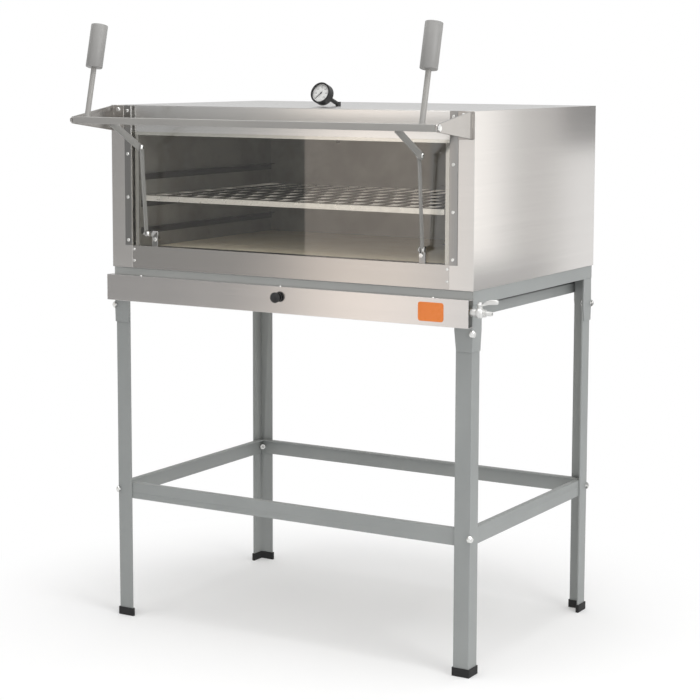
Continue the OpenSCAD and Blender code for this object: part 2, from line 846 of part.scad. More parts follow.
module probe_bore() {
  translate([0, y_boss, z_probe]) cylinder(d = probe_d + 2 * hole_gap, h = z_top - z_probe + cut);
}

module chamber_rear() {
  color(dark_steel) placed() difference() {
    block([-x_open, y_rear, z_case], [x_open, y_rear_liner, z_ceiling]);
    flue_bore(z_flue, z_flue + flue_h);
  }
}

module chamber_ceiling() {
  color(dark_steel) placed() difference() {
    block([-x_liner, y_liner, z_ceiling], [x_liner, y_rear_liner, z_ceiling_top]);
    probe_bore();
  }
}

module flue_outside() {
  block([-flue_w / 2, y_rear_liner, z_flue], [flue_w / 2, y_back, z_flue_top]);
}

module flue_duct() {
  color(dark_steel) placed() difference() {
    flue_outside();
    flue_bore(z_flue, z_flue_top);
  }
}

module insulation() {
  x_slab = x_liner - side_gap;
  color(wool) placed() {
    both_sides() block([x_liner, sill_d, z_floor], [x_in, y_back, z_roof]);
    difference() {
      block([-x_slab, sill_d, z_ceiling_top], [x_slab, y_rear_liner - side_gap, z_roof]);
      probe_bore();
    }
    difference() {
      block([-x_slab, y_rear_liner, z_floor], [x_slab, y_back, z_roof]);
      flue_outside();
    }
  }
}

module deck_stones() {
  color(stone) placed() both_sides()
    block([deck_gap / 2, sill_d + deck_gap, z_deck_seat], [x_open - deck_gap, y_rear - deck_gap, z_deck]);
}

module deck_ledges() {
  z_under = z_deck_seat - deck_ledge_t;
  color(dark_steel) placed() {
    both_sides() block([x_open - deck_ledge_w, sill_d, z_under], [x_open, y_rear, z_deck_seat]);
    block([-deck_beam_w / 2, sill_d, z_under], [deck_beam_w / 2, y_rear, z_deck_seat]);
  }
}

module shelf_runners() {
  color(dark_steel) placed() both_sides() for (z = runner_levels) {
    block([x_open - runner_w, y_shelf, z - runner_t], [x_open, y_rear, z]);
    block([x_open - runner_t, y_shelf, z - runner_h], [x_open, y_rear, z]);
  }
}

module wire_shelf() {
  x_bars = x_shelf - shelf_bar_t;
  y_wires = y_shelf + shelf_bar_t;
  y_wires_end = y_shelf_back - shelf_bar_t;
  strip_step = (y_wires_end - y_wires) / (strip_n + 1);
  color(bright) placed() {
    block([-x_shelf, y_shelf, z_shelf], [x_shelf, y_wires, z_shelf_top]);
    block([-x_shelf, y_wires_end, z_shelf], [x_shelf, y_shelf_back, z_shelf_top]);
    both_sides() block([x_bars, y_shelf, z_shelf], [x_shelf, y_shelf_back, z_shelf_top]);
    for (k = [1:strip_n]) translate([0, y_wires + k * strip_step - strip_w / 2, 0])
      block([-x_shelf, 0, z_wire + wire_d / 2 - strip_t], [x_shelf, strip_w, z_wire + wire_d / 2]);
    for (k = [0:wire_n - 1]) translate([(k - (wire_n - 1) / 2) * wire_pitch, 0, z_wire + wire_d / 2])
      rod_y(wire_d, y_wires - shelf_bar_t / 2, y_wires_end + shelf_bar_t / 2, 0, 0, $fn = 8);
  }
}

module burner_box_sides() {
  color(stand_grey) placed() both_sides() {
    block([x_box_in, y_box, z_box], [x_box, y_box_end, z_rail_seat]);
    block([x_box_in, y_box, z_rail_seat - sheet_t],
          [x_rail - rail_flange + box_lap, y_lap_end, z_rail_seat]);
  }
}

module burner_box_rear() {
  color(stand_grey) placed()
    block([-x_box_in, y_box_end - sheet_t, z_box], [x_box_in, y_box_end, z_rail_seat]);
}

module burner_carriers() {
  color(dark_steel) placed() for (y = y_carriers)
    block([-x_box_in, y - carrier_w / 2, z_burner_seat - carrier_t],
          [x_box_in, y + carrier_w / 2, z_burner_seat]);
}

// A closed burner pipe with a row of ports along its top
module burner_leg() {
  bore = burner_d - 2 * burner_wall;
  difference() {
    rod_y(burner_d, burner_start, y_burner_end, burner_x, z_pipe);
    rod_y(bore, burner_start + burner_wall, y_burner_end - burner_wall, burner_x, z_pipe);
    for (y = [burner_start + port_pitch:port_pitch:y_burner_end - port_pitch])
      translate([burner_x - port_w / 2, y - port_t / 2, z_pipe]) cube([port_w, port_t, burner_d]);
  }
}

// Two burner legs, the right one with the mouth, and the bridge that joins them
module burner_pipes() {
  mouth_bore = venturi_d - 2 * burner_wall;
  color(dark_steel) placed() {
    mirror([1, 0, 0]) burner_leg();
    difference() {
      union() {
        burner_leg();
        rod_y(venturi_d, y_mouth, burner_start + burner_wall, burner_x, z_pipe);
      }
      rod_y(mouth_bore, y_mouth - cut, burner_start + burner_wall + cut, burner_x, z_pipe);
    }
    difference() {
      rod_x(bridge_d, -burner_x, burner_x, y_bridge, z_pipe);
      both_sides() rod_y(burner_d + 2 * run_gap, burner_start, y_burner_end, burner_x, z_pipe);
    }
  }
}

module gas_pipe() {
  color(brass) placed() difference() {
    rod_x(pipe_d, x_pipe, x_side, y_pipe, z_pipe);
    rod_x(pipe_bore, burner_x, x_side + cut, y_pipe, z_pipe);
  }
}

module gas_injector() {
  half = injector_side / 2;
  y_tip = y_mouth - nozzle_gap;
  color(brass) placed() difference() {
    union() {
      translate([burner_x, y_pipe, z_pipe]) cube(injector_side, center = true);
      rod_y(nozzle_d, y_pipe, y_tip, burner_x, z_pipe);
    }
    rod_x(pipe_bore, burner_x, burner_x + half + cut, y_pipe, z_pipe);
    rod_y(jet_d, y_pipe, y_tip + cut, burner_x, z_pipe);
  }
}

// Stands on the front carrier beside the right burner leg
module ignition_electrode() {
  color(bright) placed() translate([x_electrode, y_carriers[0], z_burner_seat]) {
    cylinder(d = electrode_foot_d, h = electrode_foot_h);
    cylinder(d = electrode_d, h = burner_d);
    cylinder(d = electrode_tip_d, h = burner_d + electrode_tip_l);
  }
}

// A channel with open ends, and two inner tabs that the gas pipe passes through
module control_panel() {
  color(steel) placed() difference() {
    union() {
      block([-x_side, y_panel, z_panel], [x_side, y_panel + sheet_t, z_panel_top]);
      block([-x_side, y_panel, z_panel_top - sheet_t], [x_side, y_rail, z_panel_top]);
      block([-x_side, y_panel, z_panel], [x_side, y_rail, z_panel + sheet_t]);
      for (x = pipe_tabs)
        block([x, y_panel, z_panel], [x + pipe_tab_t, y_pipe + pipe_tab_r, z_pipe + pipe_tab_r]);
    }
    rod_x(pipe_d + 2 * run_gap, burner_x, x_side + cut, y_pipe, z_pipe);
    rod_y(igniter_d + 2 * run_gap, y_panel - cut, y_panel + sheet_t + cut, 0, z_igniter);
    for (x = panel_screw_xs) translate([x, y_panel_screw, z_panel_top - sheet_t - cut])
      cylinder(d = screw_d + 2 * hole_gap, h = sheet_t + 2 * cut);
  }
}

module badge_plate() {
  inner = [badge_w - 2 * badge_r, badge_h - 2 * badge_r];
  color(orange) placed()
    translate([x_side - badge_margin - badge_w, y_panel, z_panel + (panel_h - badge_h) / 2])
      rotate([90, 0, 0]) linear_extrude(badge_t) translate([badge_r, badge_r]) {
        translate([0, -badge_r]) square([inner.x, badge_h]);
        translate([-badge_r, 0]) square([badge_w, inner.y]);
        for (x = [0, inner.x], y = [0, inner.y]) translate([x, y]) circle(r = badge_r);
      }
}

module igniter_body() {
  color(black) placed() difference() {
    union() {
      rod_y(collar_d, y_collar, y_panel, 0, z_igniter);
      rod_y(igniter_d, y_collar, y_panel + igniter_l, 0, z_igniter);
    }
    rod_y(plunger_d + 2 * run_gap, y_collar - cut, y_collar + plunger_hold + plunger_room, 0, z_igniter);
  }
}

module igniter_button() {
  color(black) placed() {
    rod_y(button_d, y_button - button_l, y_button, 0, z_igniter);
    rod_y(plunger_d, y_button, y_collar + plunger_hold, 0, z_igniter);
  }
}

module valve_body() {
  bore_d = spindle_d + 2 * run_gap;
  color(bright) placed() difference() {
    union() {
      rod_x(valve_end_d, x_side, x_tail, y_pipe, z_pipe);
      translate([x_valve, y_pipe, z_pipe]) sphere(d = valve_d);
      translate([x_valve, y_pipe, z_pipe]) cylinder(d = valve_neck_d, h = z_neck - z_pipe);
    }
    translate([x_valve, y_pipe, z_neck - spindle_hold - side_gap]) cylinder(d = bore_d, h = valve_d);
  }
}

module hose_tail() {
  color(bright) placed() rod_x(tail_d, x_tail, x_tail + tail_l, y_pipe, z_pipe);
}

// A spindle, its hub and a flat lever with a raised grip
module valve_lever() {
  z_hub = z_neck + side_gap;
  z_bar = z_hub + (valve_hub_h - valve_lever_t) / 2;
  half = valve_lever_w / 2;
  x_grip_end = valve_lever_l - half;
  color(bright) placed() translate([x_valve, y_pipe, 0]) {
    translate([0, 0, z_neck - spindle_hold]) cylinder(d = spindle_d, h = spindle_hold + side_gap);
    translate([0, 0, z_hub]) cylinder(d = valve_hub_d, h = valve_hub_h);
    block([0, -half, z_bar], [x_grip_end, half, z_bar + valve_lever_t]);
    block([valve_grip_x, -half, z_bar], [x_grip_end, half, z_bar + valve_grip_h]);
    translate([x_grip_end, 0, z_bar]) cylinder(r = half, h = valve_grip_h);
  }
}

// Puts a piece in the dial's frame: origin at the middle of its front rim, Z out of its face
module on_dial() {
  translate([0, dial_y, z_dial]) rotate([90 - dial_tilt, 0, 0]) children();
}

module boss() {
  translate([0, y_boss, z_top]) cylinder(d = boss_d, h = boss_h);
}

module thermometer_case() {
  color(black) placed() difference() {
    on_dial() difference() {
      union() {
        translate([0, 0, -dial_depth]) cylinder(d = dial_d, h = dial_depth);
        translate([0, 0, -stem_run]) cylinder(d = stem_d, h = stem_run - dial_depth + dial_back);
      }
      translate([0, 0, dial_back - dial_depth]) cylinder(d = dial_bore, h = dial_depth);
      pointer_bore();
    }
    boss();
  }
}

module thermometer_dial() {
  color("white") placed() on_dial() difference() {
    translate([0, 0, -dial_depth + dial_back]) cylinder(d = dial_bore - 2 * run_gap, h = dial_t);
    pointer_bore();
  }
}

module pointer_bore() {
  translate([0, 0, -dial_depth]) cylinder(d = pointer_pin_d + 2 * run_gap, h = dial_depth);
}

module thermometer_pointer() {
  z_needle = -dial_depth + dial_back + dial_t + pointer_rise;
  color(black) placed() on_dial() {
    translate([0, 0, -dial_depth + side_gap])
      cylinder(d = pointer_pin_d, h = z_needle + dial_depth - side_gap);
    translate([0, 0, z_needle]) cylinder(d = pointer_hub_d, h = pointer_t);
    rotate([0, 0, pointer_rest])
      block([-pointer_tail, -pointer_w / 2, z_needle], [pointer_l, pointer_w / 2, z_needle + pointer_t]);
  }
}

module thermometer_lens() {
  color([0.9, 0.95, 1, 0.3]) placed() on_dial()
    translate([0, 0, -lens_drop - lens_t]) cylinder(d = dial_bore - 2 * run_gap, h = lens_t);
}

module thermometer_probe() {
  color(black) placed() {
    boss();
    translate([0, y_boss, z_probe]) cylinder(d = probe_d, h = z_top - z_probe + cut);
  }
}

// On each side a strip in front of the pillar and a spacer behind it, which the glass runs beside
module door_guides() {
  color(steel) placed() both_sides() difference() {
    union() {
      block([x_pillar, -guide_t, z_sill], [x_strip, 0, z_top]);
      block([x_spacer, sheet_t, z_sill], [x_spacer + spacer_w, y_frame, z_roof]);
    }
    guide_bores();
  }
}

module bracket() {
  difference() {
    union() {
      along_x(x_web, bracket_t) {
        polygon([[0, z_top - bracket_h], [0, z_top], [y_pivot, z_pivot + bracket_tip_r],
                 [y_pivot, z_pivot - bracket_tip_r]]);
        translate([y_pivot, z_pivot]) circle(r = bracket_tip_r);
      }
      block([x_bracket_flange, -bracket_t, z_top - bracket_h], [x_bracket, 0, z_top]);
    }
    bracket_bores();
    rod_x(pivot_d + 2 * run_gap, x_web - cut, x_bracket + cut, y_pivot, z_pivot);
  }
}

module brackets() {
  color(steel) placed() both_sides() bracket();
}

// A round-headed bolt along Y, with its head in front of y_seat
module bolt_y(d, big, high, y_seat, y_end, x, z) {
  rod_y(big, y_seat - high, y_seat, x, z);
  rod_y(d, y_seat - high, y_end, x, z);
}

module casing_screws() {
  color(bright) placed() {
    both_sides() {
      for (z = guide_bolt_zs)
        bolt_y(guide_bolt_d, guide_head_d, guide_head_h, -guide_t, y_frame, guide_bolt_x, z);
      for (z = bracket_bolt_zs) {
        bolt_y(bracket_bolt_d, head_d, head_h, -bracket_t, y_frame - side_gap, bracket_bolt_x, z);
        rod_y(head_d, sheet_t, y_frame - side_gap, bracket_bolt_x, z);
      }
      for (z = sill_screw_zs) bolt_y(screw_d, screw_head_d, screw_head_h, 0, screw_l, x_sill_screw, z);
    }
    for (x = panel_screw_xs) translate([x, y_panel_screw, z_panel_top]) {
      cylinder(d = screw_head_d, h = screw_head_h);
      translate([0, 0, -screw_l]) cylinder(d = screw_d, h = screw_l + screw_head_h);
    }
  }
}

module bar_block() {
  block([-x_bar, y_pivot - bar_side / 2, z_pivot - bar_side / 2],
        [x_bar, y_pivot + bar_side / 2, z_pivot + bar_side / 2]);
}

module crossbar() {
  color(stand_grey) placed() difference() {
    bar_block();
    both_sides() rod_x(pivot_d + 2 * run_gap, x_bar - pivot_hold - side_gap, x_bar + cut, y_pivot, z_pivot);
  }
}

module crank_arms() {
  color(stand_grey) placed() difference() {
    both_sides() along_x(x_arm - arm_t, arm_t) difference() {
      translate([y_pivot, z_pivot]) rotate(-arm_angle) {
        translate([bar_side / 2, -arm_w / 2]) square([arm_l - bar_side / 2, arm_w]);
        translate([arm_l, 0]) circle(d = arm_w);
      }
      translate([y_crank, z_crank]) circle(d = link_pin_d + 2 * run_gap);
    }
    bar_block();
  }
}

// Turns a rod along Z to stand on the crossbar, at the lean of the weights
module on_bar() {
  translate([x_side - rod_inset, y_pivot, z_pivot]) rotate([-rod_lean, 0, 0]) children();
}

module weight_rods() {
  color(stand_grey) placed() difference() {
    both_sides() on_bar() cylinder(d = rod_d, h = rod_l + rod_hold);
    bar_block();
  }
}

module counterweights() {
  color(stand_grey) placed() both_sides() on_bar() translate([0, 0, rod_l]) difference() {
    union() {
      cylinder(d1 = weight_d - 2 * weight_edge, d2 = weight_d, h = weight_edge);
      translate([0, 0, weight_edge]) cylinder(d = weight_d, h = weight_l - 2 * weight_edge);
      translate([0, 0, weight_l - weight_edge])
        cylinder(d1 = weight_d, d2 = weight_d - 2 * weight_edge, h = weight_edge);
    }
    translate([0, 0, -cut]) cylinder(d = rod_d + 2 * run_gap, h = rod_hold + cut + run_gap);
  }
}

// The pivot bolts in the crossbar's ends and the bolts in the ends of the crank arms
module lever_bolts() {
  color(bright) placed() both_sides() {
    rod_x(pivot_d, x_bar - pivot_hold, x_bracket + side_gap, y_pivot, z_pivot);
    rod_x(pivot_head_d, x_bracket + side_gap, x_bracket + side_gap + head_h, y_pivot, z_pivot);
    rod_x(link_pin_d, x_arm - arm_t, x_arm, y_crank, z_crank);
    rod_x(head_d, x_arm, x_arm + head_h, y_crank, z_crank);
  }
}

module door_glass() {
  color([0.6, 0.65, 0.6, 0.4]) placed() difference() {
    block([-x_glass, y_glass, z_glass], [x_glass, y_glass + glass_t, z_lintel + glass_overlap]);
    both_sides() rod_y(link_pin_d + 2 * hole_gap, 0, y_frame, tab_bolt_x, z_tab_bolt);
  }
}

// An angle on the glass whose forward lug carries the link's pin
module door_tab() {
  difference() {
    union() {
      along_x(x_tab - tab_t, tab_t) {
        polygon([[y_glass, z_tab - tab_eye_r], [y_glass, z_glass + tab_h],
                 [y_tab, z_tab + tab_eye_r], [y_tab, z_tab - tab_eye_r]]);
        translate([y_tab, z_tab]) circle(r = tab_eye_r);
      }
      block([x_tab_flange, y_glass - tab_t, z_glass], [x_tab, y_glass, z_glass + tab_h]);
    }
    rod_x(link_pin_d + 2 * run_gap, x_tab - tab_t - cut, x_tab + cut, y_tab, z_tab);
    rod_y(link_pin_d + 2 * hole_gap, y_glass - tab_t - cut, y_glass + cut, tab_bolt_x, z_tab_bolt);
  }
}

module door_tabs() {
  color(steel) placed() both_sides() door_tab();
}

// The pins that the links turn on and the bolts that hold the tabs to the glass
module tab_pins() {
  y_nut = y_glass + glass_t;
  color(bright) placed() both_sides() {
    rod_x(head_d, x_tab - tab_t - head_h, x_tab - tab_t, y_tab, z_tab);
    rod_x(link_pin_d, x_tab - tab_t - head_h, x_link + side_gap + head_h, y_tab, z_tab);
    rod_x(head_d, x_link + side_gap, x_link + side_gap + head_h, y_tab, z_tab);
    bolt_y(link_pin_d, head_d, head_h, y_glass - tab_t, y_nut + head_h, tab_bolt_x, z_tab_bolt);
    rod_y(head_d, y_nut, y_nut + head_h, tab_bolt_x, z_tab_bolt);
  }
}

module door_links() {
  color(stand_grey) placed() both_sides() {
    difference() {
      along_x(x_link - link_t, link_t) translate([y_tab, z_tab]) rotate(link_tilt) {
        translate([0, -link_w / 2]) square([link_l, link_w]);
        circle(d = link_w);
        translate([link_l, 0]) circle(d = link_w);
      }
      rod_x(link_pin_d + 2 * run_gap, x_link - link_t - cut, x_link + cut, y_tab, z_tab);
    }
    rod_x(head_d, x_link - link_t - head_h, x_link - link_t, y_crank, z_crank);
  }
}

leg_front_left();
leg_front_right();
leg_back_left();
leg_back_right();
foot_caps();
leg_sockets();
rail_front();
rail_back();
rails_side();
stretcher_front();
stretcher_back();
stretchers_side();
stand_bolts();
side_panel_left();
side_panel_right();
top_panel();
rear_panel();
front_lintel();
front_sill();
chamber_wall_left();
chamber_wall_right();
chamber_rear();
chamber_ceiling();
flue_duct();
insulation();
deck_stones();
deck_ledges();
shelf_runners();
wire_shelf();
burner_box_sides();
burner_box_rear();
burner_carriers();
burner_pipes();
gas_pipe();
gas_injector();
ignition_electrode();
control_panel();
badge_plate();
igniter_body();
igniter_button();
valve_body();
hose_tail();
valve_lever();
thermometer_case();
thermometer_dial();
thermometer_pointer();
thermometer_lens();
thermometer_probe();
door_guides();
brackets();
casing_screws();
crossbar();
crank_arms();
weight_rods();
counterweights();
lever_bolts();
door_glass();
door_tabs();
tab_pins();
door_links();
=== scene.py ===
"""Looks of a gas deck oven on its stand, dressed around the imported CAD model."""

import json
import logging
import math
from collections.abc import Iterable, Sequence
from dataclasses import dataclass, replace
from enum import Enum

import bmesh
import bpy
from mathutils import Matrix, Vector

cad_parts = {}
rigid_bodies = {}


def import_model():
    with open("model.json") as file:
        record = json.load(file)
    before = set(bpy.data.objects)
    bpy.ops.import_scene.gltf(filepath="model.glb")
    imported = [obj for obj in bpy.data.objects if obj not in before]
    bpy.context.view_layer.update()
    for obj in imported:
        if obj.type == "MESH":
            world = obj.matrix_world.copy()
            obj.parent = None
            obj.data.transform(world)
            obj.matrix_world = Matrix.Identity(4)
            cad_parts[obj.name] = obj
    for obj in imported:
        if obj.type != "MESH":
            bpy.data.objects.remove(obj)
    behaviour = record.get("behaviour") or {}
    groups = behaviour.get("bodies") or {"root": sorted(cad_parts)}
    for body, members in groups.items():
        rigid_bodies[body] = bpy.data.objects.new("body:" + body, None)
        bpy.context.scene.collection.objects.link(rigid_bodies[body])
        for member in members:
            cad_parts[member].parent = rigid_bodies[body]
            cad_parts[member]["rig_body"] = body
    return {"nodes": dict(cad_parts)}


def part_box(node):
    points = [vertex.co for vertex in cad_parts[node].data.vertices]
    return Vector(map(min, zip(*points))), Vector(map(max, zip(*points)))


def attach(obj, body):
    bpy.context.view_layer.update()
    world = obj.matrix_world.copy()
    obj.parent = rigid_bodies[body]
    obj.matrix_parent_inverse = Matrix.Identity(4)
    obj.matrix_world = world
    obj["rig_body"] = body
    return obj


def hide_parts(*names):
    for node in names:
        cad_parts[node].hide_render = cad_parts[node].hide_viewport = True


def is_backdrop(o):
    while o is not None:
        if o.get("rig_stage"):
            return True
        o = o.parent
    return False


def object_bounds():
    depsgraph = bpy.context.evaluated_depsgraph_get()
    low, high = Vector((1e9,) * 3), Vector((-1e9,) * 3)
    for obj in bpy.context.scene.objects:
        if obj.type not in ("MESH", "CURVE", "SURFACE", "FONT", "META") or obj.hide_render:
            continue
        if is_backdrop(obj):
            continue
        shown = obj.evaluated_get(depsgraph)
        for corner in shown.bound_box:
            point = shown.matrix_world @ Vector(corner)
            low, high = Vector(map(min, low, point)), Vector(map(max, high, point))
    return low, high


for stray in list(bpy.data.objects):
    bpy.data.objects.remove(stray)
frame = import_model()
CAD_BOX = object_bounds()
NODES: dict[str, bpy.types.Object] = frame["nodes"]
LOG = logging.getLogger("deck_oven")

Pair = tuple[float, float]
Triple = tuple[float, float, float]
Quad = tuple[float, float, float, float]
Colour = Quad
Spot = tuple[Vector, Vector]
WHITE: Colour = (1.0, 1.0, 1.0, 1.0)
SIDES = (-1, 1)

# The casing's middle and front, which places in millimetres are measured from
CASE_X = sum(c.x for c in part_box("top_panel")) / 2
CASE_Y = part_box("side_panel_right")[0].y


def mm(length: float) -> float:
    """Turn millimetres into metres."""
    return length / 1000


def span(x: float, y: float, z: float) -> Vector:
    """Return a step in millimetres as one in metres."""
    return Vector((mm(x), mm(y), mm(z)))


def at(x: float, y: float, z: float) -> Vector:
    """Return the row frame's point for millimetres from the casing's middle, front and floor."""
    return Vector((CASE_X + mm(x), CASE_Y + mm(y), mm(z)))


def linear(red: int, green: int, blue: int) -> Colour:
    """Turn a screen colour of 0 to 255 into linear light.

    Args:
        red, green, blue: The screen colour.

    Returns:
        The colour as linear RGBA.
    """
    parts = [c / 255 for c in (red, green, blue)]
    lit = [c / 12.92 if c <= 0.04045 else ((c + 0.055) / 1.055) ** 2.4 for c in parts]
    return (lit[0], lit[1], lit[2], 1.0)


# Node trees


class Value:
    """A node's output that arithmetic can be written with."""

    def __init__(self, tree: "Tree", socket: bpy.types.NodeSocket) -> None:
        """Keep the tree and the socket."""
        self.tree = tree
        self.socket = socket

    def _math(self, operation: str, first: "Value | float", second: "Value | float") -> "Value":
        """Add a Math node on two terms and return its result."""
        return self.tree.node("ShaderNodeMath", {"operation": operation}, {0: first, 1: second})

    def __add__(self, other: "Value | float") -> "Value":
        """Return self + other."""
        return self._math("ADD", self, other)

    def __radd__(self, other: float) -> "Value":
        """Return other + self."""
        return self._math("ADD", other, self)

    def __sub__(self, other: "Value | float") -> "Value":
        """Return self - other."""
        return self._math("SUBTRACT", self, other)

    def __rsub__(self, other: float) -> "Value":
        """Return other - self."""
        return self._math("SUBTRACT", other, self)

    def __mul__(self, other: "Value | float") -> "Value":
        """Return self * other."""
        return self._math("MULTIPLY", self, other)

    def __pow__(self, other: float) -> "Value":
        """Return self ** other."""
        return self._math("POWER", self, other)

    def most(self, other: "Value | float") -> "Value":
        """Return the larger of the two."""
        return self._math("MAXIMUM", self, other)

    def over(self, low: float, high: float) -> "Value":
        """Return 0 below low, 1 above high, and a smooth step between."""
        smooth, ends = {"interpolation_type": "SMOOTHSTEP"}, {3: 0.0, 4: 1.0}
        return self.tree.node("ShaderNodeMapRange", smooth, {0: self, 1: low, 2: high} | ends)

    def sway(self, amount: float) -> "Value":
        """Return a pattern's swing about its middle, 0.5, times an amount."""
        return (self - 0.5) * amount


Feed = Value | float | str | Sequence[float] | list["Value"] | bpy.types.Material


class Tree:
    """A node tree and the one method that adds any node to it."""

    def __init__(self, tree: bpy.types.NodeTree) -> None:
        """Start from an empty tree."""
        self.tree = tree
        tree.nodes.clear()

    def node(
        self,
        kind: str,
        settings: dict[str, object] | None = None,
        sockets: dict[str | int, Feed] | None = None,
        out: str | int = 0,
    ) -> Value:
        """Add a node.

        Args:
            kind: The node's type.
            settings: Its own settings, which are set first.
            sockets: The values or links of its inputs, by name or number.
            out: The output that is wanted.

        Returns:
            That output.
        """
        made = self.tree.nodes.new(kind)
        for key, value in (settings or {}).items():
            setattr(made, key, value)
        for key, value in (sockets or {}).items():
            for item in value if isinstance(value, list) else [value]:
                if isinstance(item, Value):
                    self.tree.links.new(item.socket, made.inputs[key])
                else:
                    made.inputs[key].default_value = item
        return Value(self, made.outputs[out]) if made.outputs else Value(self, made.inputs[0])


class Shader(Tree):
    """A material's tree with the patterns that the finishes share."""

    def __init__(self, material: bpy.types.Material) -> None:
        """Take over the material's tree."""
        material.use_nodes = True
        super().__init__(material.node_tree)

    def place(self, scale: Triple = (1.0, 1.0, 1.0), turn: Triple = (0.0, 0.0, 0.0)) -> Value:
        """Place a pattern by Object coordinates.

        Args:
            scale: How much they are stretched.
            turn: How far they are turned, in radians.

        Returns:
            The coordinates.
        """
        here = self.node("ShaderNodeTexCoord", out="Object")
        sockets = {"Vector": here, "Scale": scale, "Rotation": turn}
        return self.node("ShaderNodeMapping", None, sockets)

    def noise(
        self, where: Value, scale: float, detail: float = 2.0, roughness: float = 0.5
    ) -> Value:
        """Return a noise pattern around 0.5."""
        sizes = {"Scale": scale, "Detail": detail, "Roughness": roughness}
        return self.node("ShaderNodeTexNoise", None, {"Vector": where} | sizes)

    def along(self, where: Value, axis: str) -> Value:
        """Return how far along X, Y or Z a place is."""
        return self.node("ShaderNodeSeparateXYZ", None, {"Vector": where}, axis)

    def cells(self, where: Value, scale: float) -> Value:
        """Return the distance to the nearest of scattered points."""
        return self.node("ShaderNodeTexVoronoi", None, {"Vector": where, "Scale": scale})

    def mix(self, share: Value, first: Colour | Value, second: Colour | Value) -> Value:
        """Return the colour that goes from first to second with share."""
        sockets: dict[str | int, Feed] = {0: share, 6: first, 7: second}
        return self.node("ShaderNodeMix", {"data_type": "RGBA"}, sockets, 2)

    def bump(
        self, height: Value, strength: float, depth: float, under: Value | None = None
    ) -> Value:
        """Return the normal of a relief of that depth in metres, over the normal under it."""
        sockets: dict[str | int, Feed] = {"Strength": strength, "Distance": depth, "Height": height}
        return self.node("ShaderNodeBump", None, sockets | ({"Normal": under} if under else {}))

    def surface(self, sockets: dict[str, Feed]) -> None:
        """End the tree in a Principled shader with these sockets."""
        self.end(self.node("ShaderNodeBsdfPrincipled", None, sockets))

    def end(self, shader: Value) -> None:
        """End the tree in this shader."""
        self.node("ShaderNodeOutputMaterial", None, {"Surface": shader})


# Finishes

# How many times a streak's pattern repeats in a metre along it and across it
ALONG = 3.0
ACROSS = 620.0


class Grain(Enum):
    """How a sheet is brushed, as the stretch of its streaks in X, Y and Z."""

    LEVEL = (ALONG, ALONG, ACROSS)
    LENGTHWISE = (ALONG, ACROSS, ACROSS)
    UPRIGHT = (ACROSS, ACROSS, ALONG)


@dataclass(frozen=True)
class Finish:
    """A surface finish with the record's slot that it belongs to."""

    slot: str
    name: str

    def draw(self, shader: Shader) -> None:
        """Draw the finish's nodes."""
        raise NotImplementedError

    def material(self) -> bpy.types.Material:
        """Give the finish's material, which is made once.

        Returns:
            The material.
        """
        found = bpy.data.materials.get(self.name)
        if found is None:
            found = bpy.data.materials.new(self.name)
            self.draw(Shader(found))
        return found


@dataclass(frozen=True)
class StovedPaint(Finish):
    """Satin stoving paint with a fine peel and a faint drift of tone, and painted shade above a
    height.
    """

    colour: Colour
    drift: Colour
    roughness: float = 0.42
    dust: Colour = linear(178, 182, 180)
    dusting: float = 0.18
    # Painted shade: above this height the paint turns near black, standing in for the shade under a
    # rail
    painted_shade_from: float | None = None
    painted_shade_blur: float = 0.002
    painted_shade_colour: Colour = (0.02, 0.021, 0.021, 1.0)

    def draw(self, shader: Shader) -> None:
        """Draw the paint.

        Args:
            shader: The tree that it is drawn in.
        """
        where = shader.place()
        cloud = shader.noise(where, scale=5.0, detail=4.0, roughness=0.55)
        peel = shader.noise(where, scale=520.0, detail=2.0)
        dust = shader.noise(where, scale=1400.0, detail=1.0).over(0.62, 0.78)
        tone = shader.mix(cloud.over(0.3, 0.7), self.colour, self.drift)
        # Painted shade: near black above the given height, standing in for the shadow gap under the
        # side rail
        if self.painted_shade_from is not None:
            low, high = self.painted_shade_from - self.painted_shade_blur, self.painted_shade_from + self.painted_shade_blur
            tone = shader.mix(shader.along(where, "Z").over(low, high), tone, self.painted_shade_colour)
        shader.surface({
            "Base Color": shader.mix(dust * self.dusting, tone, self.dust),
            "Roughness": self.roughness + cloud.sway(0.16) + peel.sway(0.08),
            "Normal": shader.bump(peel, strength=0.12, depth=0.0004),
            "IOR": 1.48,
        })


@dataclass(frozen=True)
class BrushedSteel(Finish):
    """Stainless sheet with brushed streaks that smear what it mirrors."""

    light: Colour
    dark: Colour
    grain: Grain = Grain.LEVEL
    roughness: float = 0.21
    smear: float = 0.5
    turn: float = 0.25
    broad_stretch: float = 0.06
    edge_r: float = 0.0014

    def draw(self, shader: Shader) -> None:
        """Draw the steel.

        Args:
            shader: The tree that it is drawn in.
        """
        streak = shader.place(self.grain.value)
        wide = shader.place(tuple(s * self.broad_stretch for s in self.grain.value))
        fine = shader.noise(streak, scale=1.0, detail=3.0, roughness=0.65)
        broad = shader.noise(wide, scale=1.0, detail=2.0)
        touch = shader.noise(shader.place(), scale=7.0, detail=4.0, roughness=0.6)
        shade = fine * 0.65 + broad * 0.35
        edge = shader.node("ShaderNodeBevel", {"samples": 4}, {"Radius": self.edge_r})
        shader.surface({
            "Base Color": shader.mix(shade.over(0.3, 0.7), self.dark, self.light),
            "Metallic": 1.0,
            "Roughness": self.roughness + fine.sway(0.03) + touch.sway(0.04),
            "Normal": shader.bump(fine, strength=0.008, depth=0.0002, under=edge),
            "Anisotropic": self.smear,
            "Anisotropic Rotation": self.turn,
        })


